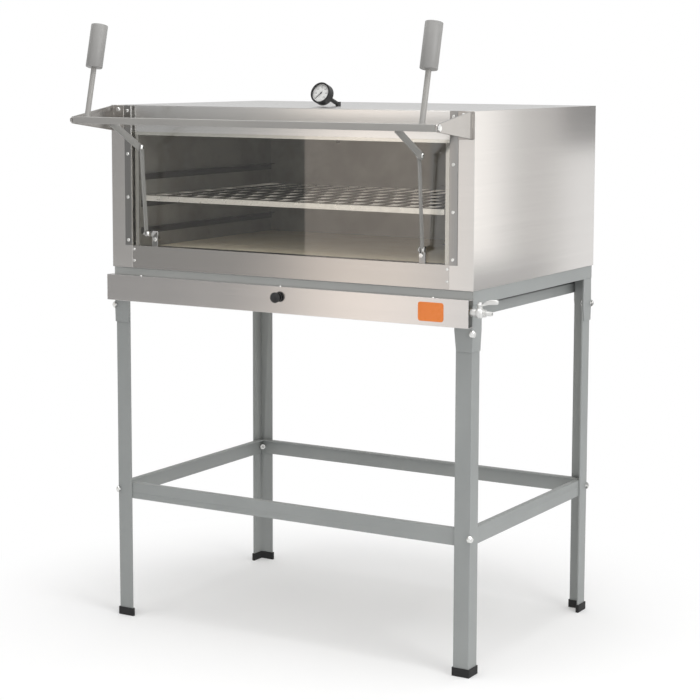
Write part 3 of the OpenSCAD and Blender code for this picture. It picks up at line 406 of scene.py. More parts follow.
@dataclass(frozen=True)
class HeatedSteel(Finish):
    """Plain steel of the chamber, dulled and browned by heat, and bare before a depth."""

    clean: Colour
    stained: Colour
    metal: float = 0.4
    roughness: float = 0.3
    front: float | None = None
    front_blur: float = 0.001
    bare: Colour = (0.6, 0.59, 0.575, 1.0)
    bare_roughness: float = 0.12

    def draw(self, shader: Shader) -> None:
        """Draw the steel.

        Args:
            shader: The tree that it is drawn in.
        """
        where = shader.place()
        stain = shader.noise(where, scale=4.2, detail=6.0, roughness=0.62)
        spots = shader.noise(where, scale=46.0, detail=3.0, roughness=0.6).over(0.6, 0.74)
        mill = shader.noise(shader.place((4.0, 4.0, 300.0)), scale=1.0, detail=2.0)
        share = stain.over(0.38, 0.68) * 0.75 + spots * 0.25
        colour = shader.mix(share, self.clean, self.stained)
        metal = self.metal - stain * 0.15
        rough = self.roughness + stain * 0.24 + mill.sway(0.1)
        if self.front is not None:
            deep = shader.along(where, "Y")
            inside = deep.over(self.front, self.front + self.front_blur)
            colour = shader.mix(inside, self.bare, colour)
            metal = 1 - inside * (1 - metal)
            rough = self.bare_roughness + inside * (rough - self.bare_roughness)
        shader.surface({
            "Base Color": colour,
            "Metallic": metal,
            "Roughness": rough,
            "Normal": shader.bump(mill, strength=0.06, depth=0.0003),
        })


@dataclass(frozen=True)
class PlatedMetal(Finish):
    """Plated or turned metal with fine tool marks."""

    colour: Colour
    shadow: Colour
    roughness: float = 0.24
    metal: float = 1.0

    def draw(self, shader: Shader) -> None:
        """Draw the metal.

        Args:
            shader: The tree that it is drawn in.
        """
        where = shader.place()
        bloom = shader.noise(where, scale=60.0, detail=4.0, roughness=0.6)
        marks = shader.noise(where, scale=900.0, detail=2.0)
        shader.surface({
            "Base Color": shader.mix(bloom.over(0.35, 0.75), self.colour, self.shadow),
            "Metallic": self.metal,
            "Roughness": self.roughness + bloom.sway(0.2) + marks.sway(0.06),
            "Normal": shader.bump(marks, strength=0.05, depth=0.0002),
        })


@dataclass(frozen=True)
class FiredStone(Finish):
    """Pressed refractory board with grit and scorch marks."""

    pale: Colour
    warm: Colour
    grit: Colour
    roughness: float = 0.82

    def draw(self, shader: Shader) -> None:
        """Draw the stone.

        Args:
            shader: The tree that it is drawn in.
        """
        where = shader.place()
        cloud = shader.noise(where, scale=11.0, detail=5.0, roughness=0.6)
        grit = shader.cells(where, 240.0)
        pores = shader.noise(where, scale=380.0, detail=3.0, roughness=0.6)
        speck = 1 - grit.over(0.12, 0.3)
        tone = shader.mix(cloud.over(0.35, 0.7), self.pale, self.warm)
        shader.surface({
            "Base Color": shader.mix(speck * 0.5, tone, self.grit),
            "Roughness": self.roughness + pores.sway(0.2),
            "Normal": shader.bump(pores + grit * 0.4, strength=0.3, depth=0.0006),
        })


@dataclass(frozen=True)
class FibreBoard(Finish):
    """Mineral wool board, matted and fibrous."""

    pale: Colour
    deep: Colour
    roughness: float = 0.85

    def draw(self, shader: Shader) -> None:
        """Draw the wool.

        Args:
            shader: The tree that it is drawn in.
        """
        strands = shader.place(scale=(60.0, 420.0, 420.0), turn=(0.2, 0.3, 0.5))
        fibre = shader.noise(strands, scale=1.0, detail=5.0, roughness=0.7)
        tuft = shader.noise(shader.place(), scale=35.0, detail=4.0, roughness=0.6)
        matted = fibre * 0.6 + tuft * 0.4
        shader.surface({
            "Base Color": shader.mix(matted.over(0.35, 0.65), self.deep, self.pale),
            "Roughness": self.roughness + tuft.sway(0.2),
            "Normal": shader.bump(fibre + tuft, strength=0.6, depth=0.002),
        })


@dataclass(frozen=True)
class Moulded(Finish):
    """Moulded rubber, plastic or enamel with a fine skin."""

    colour: Colour
    worn: Colour
    roughness: float
    skin: float = 700.0
    relief: float = 0.15

    def draw(self, shader: Shader) -> None:
        """Draw the moulding.

        Args:
            shader: The tree that it is drawn in.
        """
        where = shader.place()
        skin = shader.noise(where, scale=self.skin, detail=2.0)
        wear = shader.noise(where, scale=38.0, detail=5.0, roughness=0.65)
        shader.surface({
            "Base Color": shader.mix(wear.over(0.45, 0.75), self.colour, self.worn),
            "Roughness": self.roughness + wear.sway(0.18) + skin.sway(0.1),
            "Normal": shader.bump(skin, strength=self.relief, depth=0.0003),
        })


@dataclass(frozen=True)
class ClearSheet(Finish):
    """Clear glass: it lets light through and mirrors more at a glance."""

    tint: Colour
    mirror: float
    falloff: float = 5.0
    haze: float = 0.012
    smudge: float = 0.3

    def draw(self, shader: Shader) -> None:
        """Draw the glass.

        Args:
            shader: The tree that it is drawn in.
        """
        aslant = shader.node("ShaderNodeLayerWeight", None, {"Blend": 0.5}, "Facing")
        smear = shader.noise(shader.place((2.0, 2.0, 5.0)), scale=3.0, detail=5.0, roughness=0.6)
        glance = self.mirror + aslant ** self.falloff * (1 - self.mirror)
        mirror = glance + smear.sway(self.mirror * self.smudge)
        through = shader.node("ShaderNodeBsdfTransparent", None, {"Color": self.tint})
        rough = self.haze + smear.sway(self.haze)
        gloss = shader.node("ShaderNodeBsdfAnisotropic", None, {"Color": WHITE, "Roughness": rough})
        shader.end(shader.node("ShaderNodeMixShader", None, {0: mirror, 1: through, 2: gloss}))


PAINT = StovedPaint(
    "stand_paint", "satin_grey_paint",
    colour=linear(147, 150, 149), drift=linear(153, 156, 155),
)
BAR_PAINT = StovedPaint(
    "stand_paint", "satin_grey_bar_paint",
    colour=linear(152, 150, 147), drift=linear(158, 156, 152),
)
# Painted light: a lighter copy of the stand paint for the front rail, standing in for light in its
# shaded recess under the sill
LIT_RAIL_PAINT = StovedPaint(
    "stand_paint", "satin_grey_rail_paint_painted_light",
    colour=linear(164, 166, 164), drift=linear(170, 172, 170),
)
# Painted shade: the burner box sides turn near black above 838 mm, standing in for the shadow gap
# under the side rail
BOX_PAINT_WITH_PAINTED_SHADE = StovedPaint(
    "stand_paint", "satin_grey_box_paint_with_painted_shade",
    colour=linear(147, 150, 149), drift=linear(153, 156, 155),
    painted_shade_from=mm(838),
)
WEIGHT_PAINT = StovedPaint(
    "stand_paint", "satin_grey_weight_paint",
    colour=linear(141, 140, 138), drift=linear(147, 146, 144),
)
ARM_PAINT = StovedPaint(
    "stand_paint", "satin_grey_arm_paint",
    colour=linear(137, 136, 133), drift=linear(143, 142, 139),
)
STEEL = BrushedSteel(
    "stainless", "brushed_stainless",
    light=linear(221, 218, 215), dark=linear(217, 214, 211),
)
TOP_STEEL = BrushedSteel(
    "stainless", "brushed_stainless_top",
    light=linear(216, 215, 213), dark=linear(212, 211, 209),
    grain=Grain.LENGTHWISE, roughness=0.2, smear=0.0,
)
SILL_STEEL = BrushedSteel(
    "stainless", "brushed_stainless_sill",
    light=linear(200, 197, 194), dark=linear(196, 193, 190),
    grain=Grain.LEVEL, roughness=0.15, smear=0.5, turn=0.0,
)
PANEL_STEEL = BrushedSteel(
    "stainless", "brushed_stainless_panel",
    light=linear(221, 218, 216), dark=linear(217, 214, 212),
    grain=Grain.LEVEL, roughness=0.16, smear=0.5, turn=0.0,
)
STRIP_STEEL = BrushedSteel(
    "stainless", "brushed_stainless_strip",
    light=linear(166, 165, 163), dark=linear(156, 155, 153),
    grain=Grain.UPRIGHT, roughness=0.16, smear=0.3,
)
LINTEL_STEEL = BrushedSteel(
    "stainless", "brushed_stainless_lintel",
    light=linear(234, 234, 233), dark=linear(230, 230, 229),
    grain=Grain.LEVEL, roughness=0.21, smear=0.4,
)
BRACKET_STEEL = BrushedSteel(
    "stainless", "satin_bracket_steel",
    light=linear(184, 181, 177), dark=linear(176, 173, 170),
    grain=Grain.LENGTHWISE, roughness=0.22, smear=0.0,
)
HEATED = HeatedSteel(
    "chamber_steel", "heated_chamber_steel",
    clean=linear(169, 167, 163), stained=linear(126, 120, 113),
)
WALL = HeatedSteel(
    "chamber_steel", "heated_wall_steel",
    clean=linear(169, 167, 163), stained=linear(126, 120, 113),
    front=CASE_Y + mm(9.58),
)
SOOTED = HeatedSteel(
    "chamber_steel", "sooted_flue_steel",
    clean=linear(58, 55, 52), stained=linear(34, 32, 30),
)
# Painted shade: the runners' steel is far darker than the walls', standing in for the dark shade
# bands along the runners
SHADED_RUNNER = HeatedSteel(
    "chamber_steel", "runner_steel_painted_shade",
    clean=linear(74, 70, 66), stained=linear(52, 48, 44),
    metal=0.6,
)
PLATED = PlatedMetal(
    "bright_metal", "bright_plated_metal",
    colour=linear(232, 232, 230), shadow=linear(206, 206, 204),
)
SATIN = PlatedMetal(
    "bright_metal", "satin_nickel_plate",
    colour=linear(224, 224, 222), shadow=linear(214, 214, 212),
    roughness=0.45, metal=0.7,
)
# Painted shade: a dark copy of the plated wire for the shelf's long wires, standing in for the shade
# and dark reflections they show in the chamber; the bars keep the bright wire
SHADED_WIRE = PlatedMetal(
    "bright_metal", "shelf_wire_painted_shade",
    colour=linear(84, 81, 77), shadow=linear(68, 65, 62),
    roughness=0.34, metal=0.9,
)
WIRE = PlatedMetal(
    "bright_metal", "zinc_plated_wire",
    colour=linear(236, 234, 231), shadow=linear(226, 223, 219),
    roughness=0.3, metal=0.85,
)
BRASS = PlatedMetal(
    "brass", "turned_brass",
    colour=linear(214, 176, 104), shadow=linear(178, 138, 74),
    roughness=0.28,
)
STONE = FiredStone(
    "stone", "fired_deck_stone",
    pale=linear(250, 240, 219), warm=linear(241, 228, 203),
    grit=linear(210, 197, 176),
)
WOOL = FibreBoard(
    "mineral_wool", "mineral_wool_board",
    pale=linear(206, 196, 160), deep=linear(168, 154, 112),
)
RUBBER = Moulded(
    "rubber", "black_foot_rubber",
    colour=linear(24, 24, 25), worn=linear(34, 34, 35),
    roughness=0.72, skin=420.0, relief=0.3,
)
PLASTIC = Moulded(
    "black_plastic", "black_knob_plastic",
    colour=linear(26, 26, 27), worn=linear(38, 38, 39),
    roughness=0.36,
)
INK = Moulded(
    "black_paint", "black_dial_ink",
    colour=linear(18, 18, 19), worn=linear(28, 28, 30),
    roughness=0.5,
)
GREY_INK = Moulded(
    "black_paint", "grey_dial_ink",
    colour=linear(88, 88, 90), worn=linear(96, 96, 98),
    roughness=0.5,
)
DIAL = Moulded(
    "dial_white", "white_dial_card",
    colour=linear(240, 240, 238), worn=linear(234, 233, 229),
    roughness=0.55, skin=900.0, relief=0.05,
)
ORANGE = Moulded(
    "badge_orange", "orange_badge_enamel",
    colour=linear(233, 128, 50), worn=linear(228, 120, 44),
    roughness=0.3, skin=600.0, relief=0.06,
)
GLASS = ClearSheet("door_glass", "clear_door_glass", tint=(0.975, 0.972, 0.955, 1.0), mirror=0.056)
LENS = ClearSheet("lens", "clear_gauge_lens", tint=(0.97, 0.97, 0.97, 1.0), mirror=0.04)
SLOTS: dict[str, Finish] = {
    f.slot: f
    for f in (
        PAINT, STEEL, HEATED, PLATED, BRASS, STONE, WOOL,
        RUBBER, PLASTIC, INK, DIAL, ORANGE, GLASS, LENS,
    )
}


# Meshes

# How a CAD mesh is read: points this near are one point, and bends this slight are flat
WELD = 2e-6
FLAT = math.radians(0.5)
# Bends under the first are shaded smooth, and edges over the second and this long are rounded
SMOOTH_UNDER = math.radians(28)
ROUND_OVER = math.radians(40)
ROUND_FROM = 0.011
# Bends of a turned shape that are shaded smooth
TURNED_SMOOTH = math.radians(35)

FRONT = Vector((0, -1, 0))
BACK = Vector((0, 1, 0))
RIGHT = Vector((1, 0, 0))
UP = Vector((0, 0, 1))

Ring = list[bmesh.types.BMVert]


def added(name: str, data: bpy.types.ID) -> bpy.types.Object:
    """Add an object to the scene.

    Args:
        name: The object's name.
        data: Its mesh, curve, lamp or camera.

    Returns:
        The object.
    """
    made = bpy.data.objects.new(name, data)
    bpy.context.scene.collection.objects.link(made)
    return made


def evaluated(holder: bpy.types.Object) -> bpy.types.Mesh:
    """Settle an object into a plain mesh, and take the object away.

    Args:
        holder: The object, with its modifiers or its figures.

    Returns:
        The mesh.
    """
    bpy.context.view_layer.update()
    graph = bpy.context.evaluated_depsgraph_get()
    made = bpy.data.meshes.new_from_object(holder.evaluated_get(graph))
    bpy.data.objects.remove(holder)
    return made


def finished(work: bmesh.types.BMesh, name: str) -> bpy.types.Mesh:
    """Turn finished work into a mesh, and free the work.

    Args:
        work: The points and faces.
        name: The mesh's name.

    Returns:
        The mesh.
    """
    mesh = bpy.data.meshes.new(name)
    work.to_mesh(mesh)
    work.free()
    return mesh


def piece(
    name: str, mesh: bpy.types.Mesh, finish: Finish, body: str, stands_for: Iterable[str] = ()
) -> None:
    """Make a mesh a piece of the oven.

    Args:
        name: The piece's name.
        mesh: Its mesh, in the row frame.
        finish: What it is dressed in.
        body: The CAD body that it rides on.
        stands_for: The CAD nodes that it replaces.
    """
    made = added(name, mesh)
    mesh.materials.clear()
    mesh.materials.append(finish.material())
    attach(made, body)
    if stands_for:
        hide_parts(*stands_for)
    LOG.info("%s rides on %s in %s", name, body, finish.name)


def settled(mesh: bpy.types.Mesh, *modifiers: tuple[str, dict[str, object]]) -> bpy.types.Mesh:
    """Run modifiers on a mesh.

    Args:
        mesh: The mesh to start from.
        modifiers: Types and settings, in order.

    Returns:
        The plain mesh that results.
    """
    holder = added("holder", mesh)
    for kind, settings in modifiers:
        modifier = holder.modifiers.new(kind.lower(), kind)
        for key, value in settings.items():
            setattr(modifier, key, value)
    return evaluated(holder)


def breadth(face: bmesh.types.BMFace) -> float:
    """Return about how wide a face is across its narrow way."""
    return 2 * face.calc_area() / max(face.calc_perimeter(), 1e-9)


def formed_mesh(node: str, fold: float, lip: float, broad: float) -> bpy.types.Mesh:
    """Round the folds and cut edges of a CAD node's mesh.

    Args:
        node: The node whose mesh is copied.
        fold: Radius at an edge between two broad faces, in millimetres.
        lip: Radius at the other long edges, in millimetres.
        broad: How wide a face is to be broad, in millimetres.

    Returns:
        The rounded copy.
    """
    work = bmesh.new()
    work.from_mesh(NODES[node].data)
    bmesh.ops.remove_doubles(work, verts=work.verts, dist=WELD)
    bmesh.ops.dissolve_limit(work, angle_limit=FLAT, verts=work.verts, edges=work.edges)
    weight = work.edges.layers.float.new("bevel_weight_edge")
    wide = {e: min(breadth(f) for f in e.link_faces) for e in work.edges if e.link_faces}
    many_sided = [f for f in work.faces if len(f.verts) > 4]
    bmesh.ops.triangulate(work, faces=many_sided, ngon_method="EAR_CLIP")
    for face in work.faces:
        face.smooth = True
    for edge in work.edges:
        if len(edge.link_faces) != 2:
            continue
        turn = edge.calc_face_angle(0.0)
        edge.smooth = turn < SMOOTH_UNDER
        if edge.is_convex and turn > ROUND_OVER and edge.calc_length() > ROUND_FROM:
            edge[weight] = 1.0 if wide.get(edge, 0.0) > mm(broad) else lip / fold
            edge.smooth = edge[weight] > 0
    rounding = {
        "limit_method": "WEIGHT", "width": mm(fold), "segments": 3, "use_clamp_overlap": False,
    }
    return settled(
        finished(work, node), ("BEVEL", rounding), ("WEIGHTED_NORMAL", {"keep_sharp": True})
    )


def formed(node: str, finish: Finish, fold: float, lip: float, broad: float) -> None:
    """Stand a rounded copy in for a CAD node, on the node's own body."""
    mesh = formed_mesh(node, fold, lip, broad)
    piece(f"{node}_formed", mesh, finish, NODES[node]["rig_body"], [node])


def joined(meshes: Sequence[bpy.types.Mesh]) -> bpy.types.Mesh:
    """Join meshes in order.

    Args:
        meshes: The meshes, which stay as they are.

    Returns:
        One mesh that holds them all.
    """
    work = bmesh.new()
    for mesh in meshes:
        work.from_mesh(mesh)
    return finished(work, "joined")


def facing(point: Vector, axis: Vector) -> Matrix:
    """Return the placement at a point with Z along an axis."""
    return Matrix.Translation(point) @ axis.to_track_quat("Z", "Y").to_matrix().to_4x4()


def angles(count: int) -> list[float]:
    """Return that many equal steps of a full turn."""
    return [2 * math.pi * k / count for k in range(count)]


def bridged(work: bmesh.types.BMesh, low: Ring, high: Ring) -> list[bmesh.types.BMFace]:
    """Join two rings of as many points by a band of faces, and return the band."""
    ways = zip(low, low[1:] + low[:1], high[1:] + high[:1], high)
    return [work.faces.new(corners) for corners in ways]


def box_mesh(low: Triple, high: Triple) -> bpy.types.Mesh:
    """Make a box.

    Args:
        low: Its lowest corner, in millimetres from the casing.
        high: Its highest corner.

    Returns:
        The box's mesh.
    """
    a, b = at(*low), at(*high)
    work = bmesh.new()
    bmesh.ops.create_cube(work, size=1.0)
    for vert in work.verts:
        vert.co = Vector(a[i] + (vert.co[i] + 0.5) * (b[i] - a[i]) for i in range(3))
    return finished(work, "box")


def turned_mesh(profile: Sequence[Pair], place: Matrix, around: int) -> bpy.types.Mesh:
    """Turn a profile about Z.

    Args:
        profile: Radius and height of each step, in millimetres. A radius of 0 closes an end.
        place: Where the turned shape goes.
        around: How many sides it has.

    Returns:
        The turned mesh.
    """
    work = bmesh.new()
    rings: list[Ring] = []
    for radius, height in profile:
        r, z = mm(radius), mm(height)
        spokes = angles(around) if radius > 0 else [0.0]
        rings.append([work.verts.new((r * math.cos(a), r * math.sin(a), z)) for a in spokes])
    for low, high in zip(rings, rings[1:]):
        for k in range(around):
            j = (k + 1) % around
            corners = [low[i % len(low)] for i in (k, j)] + [high[i % len(high)] for i in (j, k)]
            work.faces.new(list(dict.fromkeys(corners)))
    bmesh.ops.recalc_face_normals(work, faces=work.faces)
    for face in work.faces:
        face.smooth = True
    for edge in work.edges:
        edge.smooth = edge.calc_face_angle(0.0) < TURNED_SMOOTH
    work.transform(place)
    return finished(work, "turned")


def flat_bar_mesh(
    xs: Sequence[float], low: Pair, high: Pair, width: float, around: int = 14
) -> bpy.types.Mesh:
    """Return a flat bar with round ends, upright across X.

    Args:
        xs: Where its two faces are, in millimetres from the casing.
        low: Depth and height of its lower end's middle.
        high: Depth and height of its upper end's middle.
        width: How wide it is.
        around: Into how many steps each round end goes.

    Returns:
        The bar's mesh.
    """
    tilt = math.atan2(high[1] - low[1], high[0] - low[0])
    outline = []
    for (y, z), start in ((high, tilt - math.pi / 2), (low, tilt + math.pi / 2)):
        for k in range(around + 1):
            a = start + math.pi * k / around
            outline.append((y + width / 2 * math.cos(a), z + width / 2 * math.sin(a)))
    work = bmesh.new()
    rings = [[work.verts.new(at(x, y, z)) for y, z in outline] for x in xs]
    for ring in rings:
        work.faces.new(ring)
    for face in bridged(work, *rings):
        face.smooth = True
    bmesh.ops.recalc_face_normals(work, faces=work.faces)
    return finished(work, "flat_bar")


def bead_mesh(centre: Vector, radius: float, thick: float) -> bpy.types.Mesh:
    """Return a rippled weld bead round an upright rod.

    Args:
        centre: Where the rod meets the bar.
        radius: The rod's radius, in metres.
        thick: The bead's own radius, in metres.

    Returns:
        The bead's mesh.
    """
    around, across, ripples, ripple = 48, 10, 16, 0.16
    work = bmesh.new()
    rings: list[Ring] = []
    for a in angles(around):
        swell = thick * (1 + ripple * math.sin(a * ripples))
        spoke = Vector((math.cos(a), math.sin(a), 0))
        ring = []
        for b in angles(across):
            out = spoke * (radius + swell * math.cos(b))
            ring.append(work.verts.new(centre + out + UP * (swell * math.sin(b))))
        rings.append(ring)
    for low, high in zip(rings, rings[1:] + rings[:1]):
        for face in bridged(work, low, high):
            face.smooth = True
    bmesh.ops.recalc_face_normals(work, faces=work.faces)
    return finished(work, "bead")


def lofted_mesh(
    rings: Sequence[tuple[Vector, float, float]], around: int = 24, square: float = 3.2
) -> bpy.types.Mesh:
    """Return a closed sleeve along X through rounded sections.

    Args:
        rings: Middle, half width along Y and half height along Z of each section, in metres.
        around: How many points a section has.
        square: How square a section is: 2 is an ellipse.

    Returns:
        The sleeve's mesh.
    """
    work = bmesh.new()
    loops: list[Ring] = []
    for centre, wide, tall in rings:
        loop = []
        for a in angles(around):
            c, s = math.cos(a), math.sin(a)
            swell = (abs(c) ** square + abs(s) ** square) ** (-1 / square)
            loop.append(work.verts.new(centre + Vector((0, wide * c * swell, tall * s * swell))))
        loops.append(loop)
    for low, high in zip(loops, loops[1:]):
        bridged(work, low, high)
    work.faces.new(loops[0])
    work.faces.new(loops[-1])
    bmesh.ops.recalc_face_normals(work, faces=work.faces)
    for face in work.faces:
        face.smooth = len(face.verts) == 4
    return finished(work, "sleeve")


class Rule(Tree):
    """A Geometry Nodes tree with named sizes that ends in a plain mesh."""

    def __init__(self, name: str, sizes: dict[str, float | int]) -> None:
        """Name the tree and its inputs.

        Args:
            name: The tree's name.
            sizes: Its named inputs with their usual values.
        """
        super().__init__(bpy.data.node_groups.new(name, "GeometryNodeTree"))
        face = self.tree.interface
        face.new_socket("Geometry", in_out="INPUT", socket_type="NodeSocketGeometry")
        self.sockets: dict[str, str] = {}
        for label, value in sizes.items():
            kind = "NodeSocketInt" if isinstance(value, int) else "NodeSocketFloat"
            item = face.new_socket(label, in_out="INPUT", socket_type=kind)
            item.default_value = value
            self.sockets[label] = item.identifier
        face.new_socket("Geometry", in_out="OUTPUT", socket_type="NodeSocketGeometry")

    def size(self, label: str) -> Value:
        """Return a named input."""
        return self.node("NodeGroupInput", out=label)

    def lifted(self, shape: Value, height: Value) -> Value:
        """Return a shape moved up by a height."""
        step = self.node("ShaderNodeCombineXYZ", None, {"Z": height})
        return self.node("GeometryNodeTransform", None, {"Geometry": shape, "Translation": step})

    def cone(self, sides: Value, low: Value, high: Value, depth: Value) -> Value:
        """Return a capped cone with its base on the ground."""
        sizes = {"Vertices": sides, "Radius Top": high, "Radius Bottom": low, "Depth": depth}
        return self.node("GeometryNodeMeshCone", None, sizes)

    def cylinder(self, sides: Value | int, radius: Value, depth: Value) -> Value:
        """Return a capped cylinder with its middle on the ground."""
        sizes = {"Vertices": sides, "Radius": radius, "Depth": depth}
        return self.node("GeometryNodeMeshCylinder", None, sizes)

    def copies(self, shape: Value) -> Value:
        """Set a shape on every point.

        Args:
            shape: The shape, whose Z goes along the point's axis.

        Returns:
            The copies.
        """
        axis = self.node(
            "GeometryNodeInputNamedAttribute", {"data_type": "FLOAT_VECTOR"}, {"Name": "axis"}
        )
        turn = self.node("FunctionNodeAlignRotationToVector", {"axis": "Z"}, {"Vector": axis})
        points = self.node("NodeGroupInput", out="Geometry")
        sockets = {"Points": points, "Instance": shape, "Rotation": turn}
        return self.node("GeometryNodeInstanceOnPoints", None, sockets)

    def end(self, shape: Value, finish: Finish) -> None:
        """End the tree in real faces.

        Args:
            shape: What the tree has made.
            finish: The finish whose material it gets.
        """
        real = self.node("GeometryNodeRealizeInstances", None, {"Geometry": shape})
        sockets = {"Geometry": real, "Material": finish.material()}
        dressed = self.node("GeometryNodeSetMaterial", None, sockets)
        self.node("NodeGroupOutput", None, {"Geometry": dressed})

    def mesh(self, spots: Sequence[Spot], sizes: dict[str, float | int]) -> bpy.types.Mesh:
        """Run the tree.

        Args:
            spots: The points and axes that its shape is set on.
            sizes: Values for its named inputs.

        Returns:
            The plain mesh that results.
        """
        carrier = bpy.data.meshes.new("spots")
        carrier.from_pydata([spot for spot, _ in spots], [], [])
        axes = carrier.attributes.new("axis", "FLOAT_VECTOR", "POINT")
        for row, (_, axis) in zip(axes.data, spots):
            row.vector = axis
        holder = added("spots", carrier)
        modifier = holder.modifiers.new("rule", "NODES")
        modifier.node_group = self.tree
        for label, value in sizes.items():
            modifier[self.sockets[label]] = value
        return evaluated(holder)


# Fasteners

SHANK_SIDES = 12
NUT_SIDES = 6


class Head(Enum):
    """A bolt head's form: sides, then its radius at a third, two thirds and the top."""

    HEX = (6, 1.0, 0.97, 0.8)
    DOME = (20, 0.97, 0.8, 0.34)
    PAN = (20, 0.99, 0.9, 0.62)


@dataclass(frozen=True)
class Bolt:
    """One kind of bolt, in millimetres. Without a nut its shank runs on by a millimetre."""

    head: Head
    head_d: float
    head_h: float
    shank_d: float
    grip: float
    nut_d: float = 0.0
    nut_h: float = 1.0

    def mesh(self, rule: Rule, spots: Sequence[Spot]) -> bpy.types.Mesh:
        """Set this bolt on spots.

        Args:
            rule: The tree that makes bolts.
            spots: The seats, with the axes that the heads point along.

        Returns:
            The bolts' mesh.
        """
        sides, low, brow, crown = self.head.value
        return rule.mesh(spots, {
            "Head Sides": sides,
            "Head Radius": mm(self.head_d / 2),
            "Head Height": mm(self.head_h),
            "Shoulder": low,
            "Brow": brow,
            "Crown": crown,
            "Shank Radius": mm(self.shank_d / 2),
            "Grip": mm(self.grip),
            "Nut Radius": mm((self.nut_d or self.shank_d) / 2),
            "Nut Height": mm(self.nut_h),
        })


PIN = Bolt(Head.HEX, head_d=12.0, head_h=4.0, shank_d=6.0, grip=3.0)
SCREW = Bolt(Head.PAN, head_d=8.0, head_h=2.0, shank_d=4.0, grip=9.9)


def bolt_rule() -> Rule:
    """Write the tree that makes a bolt of three head steps, a shank and a nut.

    Returns:
        The tree.
    """
    rule = Rule("Bolts", {
        "Head Sides": 6,
        "Head Radius": 0.006,
        "Head Height": 0.004,
        "Shoulder": 1.0,
        "Brow": 0.95,
        "Crown": 0.8,
        "Shank Radius": 0.003,
        "Grip": 0.01,
        "Nut Radius": 0.006,
        "Nut Height": 0.004,
    })
    sides, radius = rule.size("Head Sides"), rule.size("Head Radius")
    steps = [radius, *(radius * rule.size(step) for step in ("Shoulder", "Brow", "Crown"))]
    third = rule.size("Head Height") * (1 / 3)
    stack = [
        rule.lifted(rule.cone(sides, low, high, third), third * float(k))
        for k, (low, high) in enumerate(zip(steps, steps[1:]))
    ]
    grip, nut = rule.size("Grip"), rule.size("Nut Height")
    shank = rule.cylinder(SHANK_SIDES, rule.size("Shank Radius"), grip + nut)
    nut_shape = rule.cylinder(NUT_SIDES, rule.size("Nut Radius"), nut)
    stack.append(rule.lifted(shank, (grip + nut) * -0.5))
    stack.append(rule.lifted(nut_shape, (grip + nut * 0.5) * -1.0))
    bolt = rule.node("GeometryNodeJoinGeometry", None, {"Geometry": stack})
    rule.end(rule.copies(bolt), PLATED)
    return rule


# Sub-assemblies, in millimetres from the casing's middle, front and floor


@dataclass
class Stand:
    """The angle stand: legs, sockets, rails, stretchers, feet and corner bolts."""

    bolts: Rule
    fold: float = 2.8
    lip: float = 0.9
    broad: float = 12.0
    upper: Triple = (497.5, 2.5, 789.0)
    lower: Triple = (494.5, 5.5, 322.0)
    grips: Pair = (17.4, 18.8)
    depth: float = 660.0
    bars: tuple[str, ...] = (
        "leg_front_left", "leg_front_right", "leg_back_left", "leg_back_right", "leg_sockets",
        "rail_front", "rail_back", "rails_side",
        "stretcher_front", "stretcher_back", "stretchers_side",
    )

    def build(self) -> None:
        """Build and dress the stand."""
        for bar in self.bars:
            # The front rail gets the lighter copy of the paint, which is painted light
            paint = LIT_RAIL_PAINT if bar == "rail_front" else PAINT
            formed(bar, paint, self.fold, self.lip, self.broad)
        formed("foot_caps", RUBBER, fold=2.0, lip=0.8, broad=6.0)
        meshes = []
        for seat, grip in zip((self.upper, self.lower), self.grips):
            bolt = Bolt(
                Head.DOME, head_d=17.0, head_h=6.0, shank_d=8.0, grip=grip, nut_d=15.0, nut_h=8.0
            )
            meshes.append(bolt.mesh(self.bolts, self.corners(seat)))
        piece("corner_bolts", joined(meshes), PLATED, "oven", ["stand_bolts"])

    def corners(self, seat: Triple) -> list[Spot]:
        """Repeat a seat at all four corners.

        Args:
            seat: The seat at the right front corner.

        Returns:
            The seats with their outward axes.
        """
        x, y, z = seat
        return [
            (at(side * x, deep, z), Vector((side, end, 0)).normalized())
            for side in SIDES
            for end, deep in ((-1, y), (1, self.depth - y))
        ]


@dataclass
class Casing:
    """The guides and screws of the stainless casing."""

    bolts: Rule
    depth: float = 660.0
    guide: Pair = (449.0, -3.0)
    guide_zs: tuple[float, ...] = (953.0, 1058.67, 1164.33, 1270.0)
    bracket: Pair = (474.75, -4.0)
    bracket_zs: tuple[float, ...] = (1230.5, 1272.5)
    sill: Pair = (434.0, 0.0)
    sill_zs: tuple[float, ...] = (903.0, 931.0)
    panel: Pair = (-12.0, 867.5)
    panel_xs: tuple[float, ...] = (-405.0, 0.0, 405.0)
    rear_xs: tuple[float, ...] = (-480.0, -240.0, 240.0, 480.0)
    rear_zs: Triple = (897.0, 1083.0, 1270.0)

    def build(self) -> None:
        """Build and dress the guides and set the screws."""
        formed("door_guides", STRIP_STEEL, fold=0.8, lip=0.6, broad=10.0)
        low, middle, high = self.rear_zs
        panel = [(at(x, *self.panel), UP) for x in self.panel_xs]
        rear = [(at(x, self.depth, z), BACK) for x in self.rear_xs for z in (low, high)]
        rear += [(at(x, self.depth, middle), BACK) for x in (self.rear_xs[0], self.rear_xs[-1])]
        small = replace(SCREW, head_d=7.0, head_h=1.5, shank_d=3.0, grip=3.5)
        nutted = replace(PIN, grip=5.5, nut_d=12.0, nut_h=5.9)
        thin = replace(SCREW, head_h=1.8, shank_d=3.0, grip=1.0)
        meshes = [
            SCREW.mesh(self.bolts, self.front_spots(self.guide, self.guide_zs)),
            nutted.mesh(self.bolts, self.front_spots(self.bracket, self.bracket_zs)),
            small.mesh(self.bolts, self.front_spots(self.sill, self.sill_zs)),
            small.mesh(self.bolts, panel),
        ]
        piece("casing_bolts", joined(meshes), PLATED, "oven", ["casing_screws"])
        piece("rear_screws", thin.mesh(self.bolts, rear), PLATED, "oven")

    @staticmethod
    def front_spots(place: Pair, heights: Sequence[float]) -> list[Spot]:
        """Return the spots on both sides of the front, at a place across and deep."""
        x, y = place
        return [(at(side * x, y, z), FRONT) for side in SIDES for z in heights]


